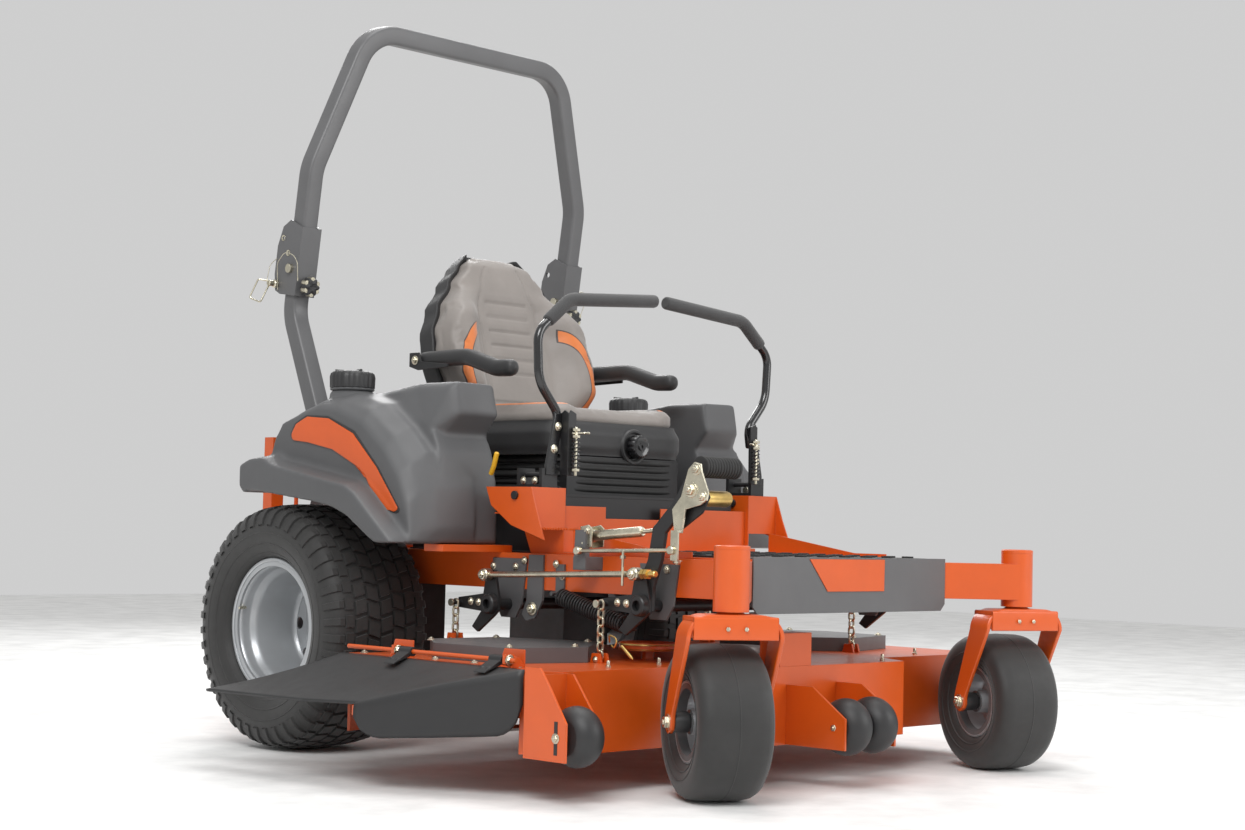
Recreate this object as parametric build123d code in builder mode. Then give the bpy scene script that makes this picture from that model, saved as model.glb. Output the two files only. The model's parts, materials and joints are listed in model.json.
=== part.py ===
from build123d import *
from math import cos, radians, sin
import os

# Zero turn mower, millimetres. Machine frame while modelling: x = 0 is the centre plane and the
# machine's right is -X, its front is -Y, y = 0 is the rear axle line and z = 0 is the ground.
# Every piece is shifted by the same amount at the end, so the box stands centred on the origin.

# ---- wheels
REAR_RADIUS = 305
REAR_WIDTH = 305
REAR_X = 561
REAR_BEAD = 155
REAR_FLANGE = 168
CASTER_RADIUS = 165
CASTER_WIDTH = 165
CASTER_BEAD = 76
CASTER_FLANGE = 85
CASTER_X = 521
WHEELBASE = 1377
TRAIL = 82
STEER_RIGHT = 30
STEER_LEFT = 23
AXLE_R = 10
RUNNING = 0.05
GAP = 0.3

# ---- frame
RAIL_X = 350
RAIL_WIDTH = 50
RAIL_LOW = 417
RAIL_TOP = 503
RAIL_REAR = 550
BEAM_FRONT = -1284
BEAM_DEPTH = 76
TUBE_R = 38
TUBE_BORE_R = 30
TUBE_LOW = 400
TUBE_TOP = 535
SPINDLE_R = 15
PLATE = 4
SHEET = 3
RAIL_OUTER = RAIL_X + RAIL_WIDTH / 2
BEAM_REAR = BEAM_FRONT + BEAM_DEPTH
PLATFORM_TOP = RAIL_TOP + PLATE
ARM_IN = 23
ARM_HALF = 30

# ---- roll bar
ROPS_X = 480
ROPS_SIZE = 50
ROPS_Y = 205
PIVOT_Z = 1230
FORWARD_TILT = 8.1
SADDLE_BELOW = 70
SADDLE_ABOVE = 112
LEAN_AT = 270
CROSS_AT = 656.5
CROSS_X = 345
BEND_R = 120
BEND_BELOW = 119

# ---- tanks
TANK_OUTER = 640
LIP_OUTER = 713
TANK_WALL = 6
CAP_R = 57.5
NECK_R = 40
NECK_TOP = 915

# ---- deck
DECK_LOW = 90
DECK_TOP = 265
SPINDLE_X = 495
SPINDLE_Y = -760
CENTRE_SPINDLE_Y = -930
BLADE_LENGTH = 516
BLADE_SHAFT_R = 12
ROLLER_R = 63.5
ROLLER_WIDTH = 76
HINGE_X = 800
HINGE_Z = 285
COVER_TOP = 300

# ---- lift linkage
FRONT_SHAFT = (-1035, 397)
REAR_SHAFT = (-537, 380)
SHAFT_R = 14
CRANK_X = 428
CRANK_PLATE = 8
CHAIN_ARM = 110
ROD_OFFSET = (5, 70)
PIN_R = 6
LINK_R = 12.5
LINK_WIRE = 3
FRONT_LINKS = 7
REAR_LINKS = 5
CHAIN_X = 452
LINK_PITCH = 2 * (LINK_R - LINK_WIRE) - GAP
HOOK_DROP = LINK_R - PIN_R - LINK_WIRE - GAP

# ---- levers and seat
LEVER_Y = -655
LEVER_R = 11
GRIP_R = 16
CARRIER_SHAFT = (-620, 640)
SWING_X = 375
SWING_Z = 690
SEAT_BASE_TOP = 745
SEAT_FRONT = -540
CUSHION_LOW = 790
ARM_PIVOT = (-86, 990)
KNOB = (30, 775)

pieces = {}


def keep(name, *parts):
    """Store one node: a single solid, or several separate ones side by side."""
    solids = [solid for part in parts for solid in part.solids()]
    pieces[name] = solids[0] if len(solids) == 1 else Compound(solids)


def outline(*points):
    """Closed straight-sided face."""
    Polygon(*points, align=None)


def plate_x(x0, x1, points, holes=()):
    """Plate across X from (y, z) corners, with round holes given as (y, z, radius)."""
    with BuildPart() as plate:
        with BuildSketch(Plane.YZ.offset(x0)):
            outline(*points)
            for y, z, radius in holes:
                with Locations((y, z)):
                    Circle(radius, mode=Mode.SUBTRACT)
        extrude(amount=x1 - x0)
    return plate.part


def plate_y(y0, y1, points, holes=()):
    """Plate across Y from (x, z) corners, with round holes given as (x, z, radius)."""
    with BuildPart() as plate:
        with BuildSketch(Plane.XZ.offset(-y0)):
            outline(*points)
            for x, z, radius in holes:
                with Locations((x, z)):
                    Circle(radius, mode=Mode.SUBTRACT)
        extrude(amount=y0 - y1)
    return plate.part


def plate_z(z0, z1, points, holes=()):
    """Level plate from (x, y) corners, with round holes given as (x, y, radius)."""
    with BuildPart() as plate:
        with BuildSketch(Plane.XY.offset(z0)):
            outline(*points)
            for x, y, radius in holes:
                with Locations((x, y)):
                    Circle(radius, mode=Mode.SUBTRACT)
        extrude(amount=z1 - z0)
    return plate.part


def block(x0, x1, y0, y1, z0, z1):
    """Box between two corners."""
    with BuildPart() as box:
        with Locations(((x0 + x1) / 2, (y0 + y1) / 2, (z0 + z1) / 2)):
            Box(abs(x1 - x0), abs(y1 - y0), abs(z1 - z0))
    return box.part


def box_tube(x0, x1, y0, y1, z0, z1, along, wall=PLATE):
    """Rectangular tube whose bore runs along one axis."""
    inset = [0 if axis == along else wall for axis in "xyz"]
    with BuildPart() as tube:
        with Locations(((x0 + x1) / 2, (y0 + y1) / 2, (z0 + z1) / 2)):
            Box(x1 - x0, y1 - y0, z1 - z0)
            Box(x1 - x0 - 2 * inset[0], y1 - y0 - 2 * inset[1], z1 - z0 - 2 * inset[2],
                mode=Mode.SUBTRACT)
    return tube.part


def rod(start, end, radius, bore=0):
    """Round bar, or a tube when it has a bore, between two points."""
    run = Vector(*end) - Vector(*start)
    with BuildPart() as bar:
        with BuildSketch(Plane(origin=start, z_dir=run)):
            Circle(radius)
            if bore:
                Circle(bore, mode=Mode.SUBTRACT)
        extrude(amount=run.length)
    return bar.part


def other_side(part):
    """The same piece on the machine's other side."""
    return mirror(part, about=Plane.YZ)


def axle_plane(centre, axle):
    """Plane through a wheel: local X runs along the axle and local Y points up."""
    return Plane(origin=centre, x_dir=axle, z_dir=Vector(*axle).cross(Vector(0, 0, 1)))


def tyre(centre, axle, radius, width, bead, flange, wall):
    """Open tyre section turned about its axle: two beads, bulging sides and a flat tread."""
    half = width / 2
    height = radius - bead
    bead_half = half - height / 4
    plane = axle_plane(centre, axle)
    right = [(bead_half, bead), (bead_half, flange + 1), (half, bead + height * 0.45), 
             (half - 3, bead + height * 0.75), (half - height / 6, radius - 6), (half - height / 3, radius)]
    with BuildPart() as body:
        with BuildSketch(plane):
            outline(*right, *[(-u, v) for u, v in reversed(right)])
            offset(amount=-wall, kind=Kind.INTERSECTION, mode=Mode.SUBTRACT)
            with Locations((0, bead)):
                Rectangle(2 * (bead_half - wall), 2 * wall + 2, mode=Mode.SUBTRACT)
        revolve(axis=Axis(centre, axle))
    return body.part


def rim(centre, axle, width, bead, flange, hub_r, disc_at, hub_half=0, hub_bore=0, tyre_radius=0):
    """Wheel rim: barrel, two flanges and a disc, with a hub when it turns on an axle bolt."""
    bead_half = width / 2 - (tyre_radius - bead) / 4
    wall = 6
    plane = axle_plane(centre, axle)
    with BuildPart() as body:
        with BuildSketch(plane):
            with Locations((0, bead - wall / 2)):
                Rectangle(2 * (bead_half + wall), wall)
            for side in (-1, 1):
                with Locations((side * (bead_half + wall / 2), (bead - wall + flange) / 2)):
                    Rectangle(wall, flange - bead + wall)
            with Locations((disc_at, (hub_r + bead) / 2)):
                Rectangle(8, bead - hub_r)
            if hub_half:
                with Locations((0, (hub_r + hub_bore) / 2)):
                    Rectangle(2 * hub_half, hub_r - hub_bore)
        revolve(axis=Axis(centre, axle))
    return body.part


# ==== frame =================================================================================

rails = [box_tube(side - RAIL_WIDTH / 2, side + RAIL_WIDTH / 2, BEAM_REAR, RAIL_REAR,
                  RAIL_LOW, RAIL_TOP, "y") for side in (-RAIL_X, RAIL_X)]
RAIL_INNER = RAIL_X - RAIL_WIDTH / 2
cross_tubes = [box_tube(-RAIL_INNER, RAIL_INNER, y - 25, y + 25, RAIL_LOW, RAIL_TOP, "x")
               for y in (-710, 25)]
bumper = box_tube(-RAIL_OUTER, RAIL_OUTER, RAIL_REAR, RAIL_REAR + 40, RAIL_LOW, RAIL_TOP, "x")
engine_plate = block(-RAIL_OUTER, RAIL_OUTER, 80, RAIL_REAR, RAIL_TOP, RAIL_TOP + 6)
tank_brackets = [block(side * 340, side * 560, -500, -430, RAIL_TOP, RAIL_TOP + 17)
                 for side in (-1, 1)]
HITCH_Y = 610
HITCH_HOLE_R = 9.5
hitch = plate_z(RAIL_LOW - 8, RAIL_LOW, [(-50, 555), (50, 555), (30, 635), (-30, 635)],
                [(0, HITCH_Y, HITCH_HOLE_R)])
keep("frame_rails", *rails, *cross_tubes, bumper, engine_plate, *tank_brackets, hitch)

front_tube = box_tube(-RAIL_X, RAIL_X, BEAM_FRONT, BEAM_REAR, RAIL_LOW, RAIL_TOP, "x", 5)


def caster_tube(side):
    """Upright tube with its cap, at the front corner."""
    centre = (side * CASTER_X, -WHEELBASE)
    tube = rod((*centre, TUBE_LOW), (*centre, TUBE_TOP - PLATE), TUBE_R, TUBE_BORE_R)
    cap = rod((*centre, TUBE_TOP - PLATE), (*centre, TUBE_TOP), TUBE_R)
    return tube, cap


def front_arm(side):
    """Angled box arm from the front tube's end to the caster tube."""
    with BuildPart() as arm:
        with BuildSketch(Plane.XY.offset(RAIL_LOW)):
            outline((side * RAIL_X, BEAM_FRONT), (side * (CASTER_X - ARM_IN), -WHEELBASE - ARM_HALF),
                    (side * (CASTER_X + ARM_IN), -WHEELBASE + ARM_HALF), (side * RAIL_X, BEAM_REAR))
        extrude(amount=RAIL_TOP - RAIL_LOW)
        with Locations((side * CASTER_X, -WHEELBASE, (RAIL_LOW + RAIL_TOP) / 2)):
            Cylinder(TUBE_R, 200, mode=Mode.SUBTRACT)
    return arm.part.solids().sort_by(SortBy.VOLUME)[-1]


keep("front_beam", front_tube, *caster_tube(-1), *caster_tube(1),
     Part() + front_arm(-1), Part() + front_arm(1))

bearings = [rod((side * CASTER_X, -WHEELBASE, z), (side * CASTER_X, -WHEELBASE, z + 20),
                TUBE_BORE_R, SPINDLE_R + RUNNING)
            for side in (-1, 1) for z in (TUBE_LOW, TUBE_TOP - PLATE - 30)]
keep("caster_bearings", *bearings)

COVER_HALF = RAIL_X
COVER_LOW = 388
COVER_HIGH = 512
with BuildPart() as front_cover:
    with BuildSketch(Plane.XZ.offset(-BEAM_FRONT)):
        outline((-COVER_HALF, COVER_HIGH), (COVER_HALF, COVER_HIGH), (COVER_HALF, 404),
                (COVER_HALF - 16, COVER_LOW), (-COVER_HALF + 16, COVER_LOW), (-COVER_HALF, 404))
    extrude(amount=PLATE)
    with Locations((0, BEAM_FRONT + 10, COVER_HIGH - 2)):
        Box(2 * COVER_HALF, 20, PLATE)
    with Locations((0, BEAM_FRONT + 10, COVER_LOW + 2)):
        Box(2 * COVER_HALF - 32, 20, PLATE)
keep("front_cover", front_cover.part)

platform = block(-RAIL_X, RAIL_X, BEAM_FRONT, -666, RAIL_TOP, PLATFORM_TOP)
gussets = [plate_x(side * RAIL_X, side * (RAIL_X + PLATE),
                   [(-728, RAIL_TOP), (-728, 563), (-1010, 519), (-1108, 519), (-1108, RAIL_TOP)])
           for side in (-1, 1)]
keep("foot_platform", platform, *gussets)

MAT_THICK = 5
with BuildPart() as foot_mat:
    with Locations((0, -985, PLATFORM_TOP + MAT_THICK / 2)):
        Box(640, 540, MAT_THICK)
    with Locations(Plane(origin=(0, -985, PLATFORM_TOP + MAT_THICK))):
        with GridLocations(80, 54, 8, 10):
            Cylinder(14, 4, align=(Align.CENTER, Align.CENTER, Align.MIN))
keep("foot_mat", foot_mat.part)

# ==== control towers ========================================================================

PANEL_Y = -663
TOWER_OUTER = 443
TOWER_INNER = 330
TOWER_TOP = 660
TOWER_FRONT = -674
panel = plate_y(PANEL_Y, PANEL_Y + SHEET,
                [(-TOWER_INNER, PLATFORM_TOP), (TOWER_INNER, PLATFORM_TOP), (TOWER_INNER, 618),
                 (11, 618), (11, 590), (-183, 590), (-183, 618), (-TOWER_INNER, 618)])


def tower(side):
    """Open tower of folded sheet: outer wing, inner wall on the rail, front and floor."""
    cs_y, cs_z = CARRIER_SHAFT
    hole = [(cs_y, cs_z, 10 + RUNNING)]
    outer = plate_x(side * TOWER_OUTER, side * (TOWER_OUTER - SHEET),
                    [(-515, TOWER_TOP), (TOWER_FRONT, TOWER_TOP), (-697, 596), (-723, 536),
                     (-607, 569), (-534, 616)], hole)
    inner = plate_x(side * (TOWER_INNER + SHEET), side * TOWER_INNER,
                    [(-515, TOWER_TOP), (TOWER_FRONT, TOWER_TOP), (TOWER_FRONT, RAIL_TOP + PLATE),
                     (-666, RAIL_TOP + PLATE), (-666, RAIL_TOP), (-560, RAIL_TOP), (-515, 600)], hole)
    front = block(side * (TOWER_OUTER - SHEET), side * (TOWER_INNER + SHEET),
                  TOWER_FRONT, TOWER_FRONT + SHEET, 561, TOWER_TOP)
    floor = block(side * (TOWER_OUTER - SHEET), side * (TOWER_INNER + SHEET),
                  TOWER_FRONT + SHEET, -545, 596, 596 + SHEET)
    return outer, inner, front, floor


keep("control_towers", panel, *tower(-1), *tower(1))

# ==== tanks =================================================================================

ARCH = [(-423, 520), (-395, 534), (-315, 581), (-257, 602), (-86, 623), (54, 638)]
BACK_EDGE = [(90, 640), (76, 736), (52, 792), (29, 815)]
OUTER_TOP = [(-38, 840), (-164, 860), (-282, 820), (-380, 740), (-440, 660), (-480, 560), (-480, 520)]
MIDDLE_TOP = [(-38, 851), (-164, 898), (-282, 867), (-400, 800), (-420, 740), (-490, 640), (-500, 546),
              (-490, 520)]
BOX_SIDE = [(-40, 640), (-40, 845), (-164, 890), (-330, 915), (-470, 915), (-490, 800), (-490, 640)]
RIGHT_NECK = (540, -110)
LEFT_NECK = (560, 0)


def tank_slab(x0, x1, points, inset):
    """One slab of the tank, or of its hollow when inset."""
    with BuildPart() as slab:
        with BuildSketch(Plane.YZ.offset(-x0 - inset)):
            outline(*points)
            if inset:
                offset(amount=-inset, kind=Kind.INTERSECTION, mode=Mode.REPLACE)
        extrude(amount=-(x1 - x0 - 2 * inset))
    return slab.part


def tank_shape(inset):
    """Right-hand tank envelope: outer hump, taller front, inner box and the notch by the roll bar."""
    outer = tank_slab(590, TANK_OUTER, [*ARCH, *BACK_EDGE, *OUTER_TOP], inset)
    middle = tank_slab(450, 590 + 2 * inset, [*ARCH, *BACK_EDGE, *MIDDLE_TOP], inset)
    inner = tank_slab(375, 512, BOX_SIDE, inset)
    notch = block(-520 - inset, -300, -40 - inset, 200, 400, 1000)
    return outer + middle + inner - notch


def tank(neck_x, neck_y):
    """Hollow tank body with its wheel-arch lip and filler neck."""
    lip = plate_x(-TANK_OUTER, -LIP_OUTER,
                  [(126, 650), (128, 706), (33, 722), (1, 701), (-299, 649), (-335, 634),
                   (-472, 527), (-484, 521), *ARCH, (104, 630)])
    neck = rod((-neck_x, neck_y, 790), (-neck_x, neck_y, NECK_TOP), NECK_R)
    return tank_shape(0) + lip + neck - tank_shape(TANK_WALL)


keep("fuel_tank_right", tank(*RIGHT_NECK))
keep("fuel_tank_left", other_side(tank(*LEFT_NECK)))


def fuel_cap(x, y):
    """Ribbed cap over the filler neck."""
    with BuildPart() as cap:
        with Locations((x, y, 905)):
            Cylinder(CAP_R, 40, align=(Align.CENTER, Align.CENTER, Align.MIN))
            Cylinder(NECK_R + GAP, NECK_TOP + GAP - 905, mode=Mode.SUBTRACT,
                     align=(Align.CENTER, Align.CENTER, Align.MIN))
            with PolarLocations(CAP_R, 24):
                Cylinder(2.5, 40, mode=Mode.SUBTRACT, align=(Align.CENTER, Align.CENTER, Align.MIN))
    return cap.part


keep("fuel_cap_right", fuel_cap(-RIGHT_NECK[0], RIGHT_NECK[1]))
keep("fuel_cap_left", fuel_cap(*LEFT_NECK))

tank_badge = plate_x(-TANK_OUTER, -TANK_OUTER - 2,
                     [(-10, 776), (-85, 832), (-250, 810), (-400, 700), (-440, 650), (-380, 640),
                      (-300, 700), (-200, 750)])
front_inset = plate_y(BEAM_FRONT - PLATE, BEAM_FRONT - PLATE - 2,
                      [(-161, 509), (111, 509), (110, 436), (-96, 436)])
keep("badge_plates", front_inset, tank_badge, other_side(tank_badge))

# ==== roll bar ==============================================================================

TILT_COS = cos(radians(FORWARD_TILT))
TILT_SIN = sin(radians(FORWARD_TILT))
HALF_TUBE = ROPS_SIZE / 2
ROPS_FOOT_Y = 40
FOOT_LEVEL = 668
SADDLE_WALL = 6
FOLD_PIN_R = 8
BAIL_PIN_R = 6
BAIL_AT = (53, -45)
CLAMP_AT = -42


def leaned(back, up):
    """(y, z) of a spot measured from the fold pivot along the tilted posts."""
    return (ROPS_Y + back * TILT_COS - up * TILT_SIN, PIVOT_Z + back * TILT_SIN + up * TILT_COS)


def tilted_plane(x):
    """Plane across X through the fold pivot: local X points back and local Y up the post."""
    return Plane(origin=(x, ROPS_Y, PIVOT_Z), x_dir=(0, TILT_COS, TILT_SIN), z_dir=(1, 0, 0))


def tilted_plate(x0, x1, points, holes=()):
    """Plate across X from (back, up) corners, with round holes given as (back, up, radius)."""
    with BuildPart() as plate:
        with BuildSketch(tilted_plane(x0)):
            outline(*points)
            for back, up, radius in holes:
                with Locations((back, up)):
                    Circle(radius, mode=Mode.SUBTRACT)
        extrude(amount=x1 - x0)
    return plate.part


def square_tube(points, radii, across, wall):
    """Square tube swept along a filleted path that lies in one plane."""
    with BuildPart() as tube:
        with BuildLine() as path:
            FilletPolyline(*points, radius=radii)
        with BuildSketch(Plane(origin=path.line @ 0, z_dir=path.line % 0, x_dir=across)):
            Rectangle(ROPS_SIZE, ROPS_SIZE)
            Rectangle(ROPS_SIZE - 2 * wall, ROPS_SIZE - 2 * wall, mode=Mode.SUBTRACT)
        sweep(path=path.line)
    return tube.part


def upright(side):
    """Fixed post: up from the rail and out over the tyre, then up and back to the saddle."""
    foot = square_tube([(side * RAIL_X, ROPS_FOOT_Y, RAIL_TOP), (side * RAIL_X, ROPS_FOOT_Y, FOOT_LEVEL),
                        (side * (ROPS_X - HALF_TUBE), ROPS_FOOT_Y, FOOT_LEVEL)], 55, (0, 1, 0), 5)
    post = square_tube([(side * ROPS_X, ROPS_FOOT_Y, FOOT_LEVEL - HALF_TUBE),
                        (side * ROPS_X, ROPS_FOOT_Y, 700),
                        (side * ROPS_X, ROPS_Y + 17, PIVOT_Z - BEND_BELOW),
                        (side * ROPS_X, *leaned(0, -HALF_TUBE - 1))], [60, 120], (1, 0, 0), 5)
    return foot, post


keep("rops_uprights", *upright(-1), *upright(1))


def saddle(side):
    """U-shaped bracket open to the rear: two ears and a front plate."""
    inner = side * (ROPS_X - HALF_TUBE - GAP)
    outer = side * (ROPS_X + HALF_TUBE + GAP)
    front = -HALF_TUBE - GAP
    ear = [(front, -SADDLE_BELOW), (front, SADDLE_ABOVE), (22, SADDLE_ABOVE + 16), (52, SADDLE_ABOVE - 4),
           (68, 56), (68, -20), (58, -62), (36, -SADDLE_BELOW)]
    holes = [(0, 0, FOLD_PIN_R), (*BAIL_AT, BAIL_PIN_R), (46, 78, 8)]
    ears = [tilted_plate(inner, inner - side * SADDLE_WALL, ear, holes),
            tilted_plate(outer, outer + side * SADDLE_WALL, ear, holes)]
    plate = tilted_plate(inner - side * SADDLE_WALL, outer + side * SADDLE_WALL,
                         [(front - SADDLE_WALL, -SADDLE_BELOW), (front, -SADDLE_BELOW),
                          (front, SADDLE_ABOVE), (front - SADDLE_WALL, SADDLE_ABOVE)])
    return [*ears, plate]


keep("rops_saddles", *saddle(-1), *saddle(1))


def saddle_fasteners(side):
    """Pivot bolt, bail pin and front clamp knob of one saddle."""
    reach = HALF_TUBE + GAP + SADDLE_WALL
    bolt = rod((side * (ROPS_X - reach), ROPS_Y, PIVOT_Z), (side * (ROPS_X + reach), ROPS_Y, PIVOT_Z),
               FOLD_PIN_R)
    heads = [rod((side * (ROPS_X + s * reach), ROPS_Y, PIVOT_Z),
                 (side * (ROPS_X + s * (reach + 9)), ROPS_Y, PIVOT_Z), 12) for s in (-1, 1)]
    pin = rod((side * (ROPS_X - reach - 15), *leaned(*BAIL_AT)),
              (side * (ROPS_X + reach + 20), *leaned(*BAIL_AT)),
              BAIL_PIN_R)
    front = -HALF_TUBE - GAP - SADDLE_WALL
    out_way = (0, -TILT_COS, -TILT_SIN)
    with BuildPart() as knob:
        with BuildSketch(Plane(origin=(side * ROPS_X, *leaned(front, CLAMP_AT)), z_dir=out_way)):
            Circle(9)
        extrude(amount=12)
        with BuildSketch(Plane(origin=(side * ROPS_X, *leaned(front - 12, CLAMP_AT)), z_dir=out_way)):
            Circle(19)
            with PolarLocations(19, 6):
                Circle(7)
        extrude(amount=18)
    return [bolt, *heads, pin, knob.part]


keep("rops_fasteners", *saddle_fasteners(-1), *saddle_fasteners(1))

hoop_plane = Plane(origin=(0, ROPS_Y, PIVOT_Z), x_dir=(1, 0, 0), z_dir=(0, -TILT_COS, -TILT_SIN))
with BuildPart() as rops_hoop:
    with BuildLine(hoop_plane) as hoop_path:
        FilletPolyline((-ROPS_X, 0), (-ROPS_X, LEAN_AT), (-CROSS_X, CROSS_AT), (CROSS_X, CROSS_AT),
                       (ROPS_X, LEAN_AT), (ROPS_X, 0), radius=[150, BEND_R, BEND_R, 150])
    with BuildSketch(Plane(origin=hoop_path.line @ 0, z_dir=hoop_path.line % 0, x_dir=(1, 0, 0))):
        Rectangle(ROPS_SIZE, ROPS_SIZE)
    sweep(path=hoop_path.line)
    for side in (-1, 1):
        with BuildSketch(tilted_plane(side * ROPS_X - HALF_TUBE)):
            Circle(HALF_TUBE)
        extrude(amount=ROPS_SIZE)
        with BuildSketch(tilted_plane(side * ROPS_X - HALF_TUBE)):
            Circle(FOLD_PIN_R + RUNNING)
        extrude(amount=ROPS_SIZE, mode=Mode.SUBTRACT)
keep("rops_hoop", rops_hoop.part)

# ==== engine and drive ======================================================================

ENGINE_FLOOR = RAIL_TOP + 6
crankcase = block(-140, 140, 150, 400, ENGINE_FLOOR, 700)


def cylinder_block(side):
    """Cylinder with cooling fins, beside the crankcase."""
    with BuildPart() as barrel:
        with Locations((side * 200, 290, 625)):
            Box(120, 150, 130)
        for step in range(7):
            for y in (215, 365):
                with Locations((side * (152 + step * 15), y, 625)):
                    Box(8, 50, 140, mode=Mode.SUBTRACT)
    return barrel.part


oil_filter = rod((90, 150, 580), (90, 70, 580), 38)
keep("engine_block", crankcase, cylinder_block(-1), cylinder_block(1), oil_filter)

with BuildPart() as blower:
    with Locations((0, 265, 700)):
        Cylinder(175, 90, align=(Align.CENTER, Align.CENTER, Align.MIN))
    fillet(blower.faces().sort_by(Axis.Z)[-1].edges(), 20)
with BuildPart() as canister:
    with BuildSketch(Plane.YZ.offset(-150)):
        with Locations((290, 790 + 68)):
            Circle(68)
    extrude(amount=300)
    fillet(canister.edges().filter_by(GeomType.CIRCLE), 10)
keep("engine_shroud", blower.part, canister.part)

muffler_can = rod((-180, 470, 600), (180, 470, 600), 62)
feet = [block(side * 100 - 15, side * 100 + 15, 455, 485, ENGINE_FLOOR, 540) for side in (-1, 1)]
keep("muffler", muffler_can, *feet)

guard_posts = [block(side * 280 - 20, side * 280 + 20, RAIL_REAR, RAIL_REAR + 40, RAIL_TOP, 760)
               for side in (-1, 1)]
guard_bar = block(-300, 300, RAIL_REAR, RAIL_REAR + 40, 760, 800)
guard_rods = [rod((x, RAIL_REAR + 20, RAIL_TOP), (x, RAIL_REAR + 20, 760), 6)
              for x in (-200, -120, -40, 40, 120, 200)]
keep("engine_guard", *guard_posts, guard_bar, *guard_rods)

HUB_X = 500
SHAFT_BORE = 16


def transaxle(side):
    """Hydrostatic gear case under the rail, with its axle horn."""
    case = block(side * 215, side * 385, -110, 110, 225, RAIL_LOW)
    with BuildPart() as horn:
        with BuildSketch(Plane.YZ.offset(side * 385)):
            with Locations((0, REAR_RADIUS)):
                Circle(45)
                Circle(SHAFT_BORE + RUNNING, mode=Mode.SUBTRACT)
        extrude(amount=side * (HUB_X - 25 - 385))
    pump = rod((side * 265, -60, RAIL_LOW), (side * 265, -60, RAIL_LOW + 60), 50)
    return case, horn.part, pump


keep("transaxles", *transaxle(-1), *transaxle(1))


def rear_wheel(side):
    """Rear tyre, and its rim with disc, hub, shaft and lug nuts."""
    centre = (side * REAR_X, 0, REAR_RADIUS)
    axle = (side, 0, 0)
    rubber = tyre(centre, axle, REAR_RADIUS, REAR_WIDTH, REAR_BEAD, REAR_FLANGE, 12)
    disc_at = HUB_X + 14 - REAR_X
    steel = rim(centre, axle, REAR_WIDTH, REAR_BEAD, REAR_FLANGE, 30, disc_at, tyre_radius=REAR_RADIUS)
    vent_holes = [rod((side * (HUB_X - 20), 108 * cos(radians(a)), REAR_RADIUS + 108 * sin(radians(a))),
                      (side * (HUB_X + 40), 108 * cos(radians(a)), REAR_RADIUS + 108 * sin(radians(a))), 15)
                  for a in range(0, 360, 45)]
    for hole in vent_holes:
        steel = steel - hole
    hub = rod((side * (HUB_X - 6), 0, REAR_RADIUS), (side * (HUB_X + 10), 0, REAR_RADIUS), 75, SHAFT_BORE)
    shaft = rod((side * 390, 0, REAR_RADIUS), (side * (HUB_X + 30), 0, REAR_RADIUS), SHAFT_BORE)
    nuts = [rod((side * (HUB_X + 18), 50 * cos(radians(a)), REAR_RADIUS + 50 * sin(radians(a))),
                (side * (HUB_X + 34), 50 * cos(radians(a)), REAR_RADIUS + 50 * sin(radians(a))), 10)
            for a in range(36, 396, 72)]
    return rubber, [steel, hub, shaft, *nuts]


for label, side in (("right", -1), ("left", 1)):
    rubber, metal = rear_wheel(side)
    keep("rear_tyre_" + label, rubber)
    keep("rear_rim_" + label, *metal)

# ==== casters ===============================================================================

FORK_TOP = 395
FORK_INNER = 97
FORK_BAR = 10


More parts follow.
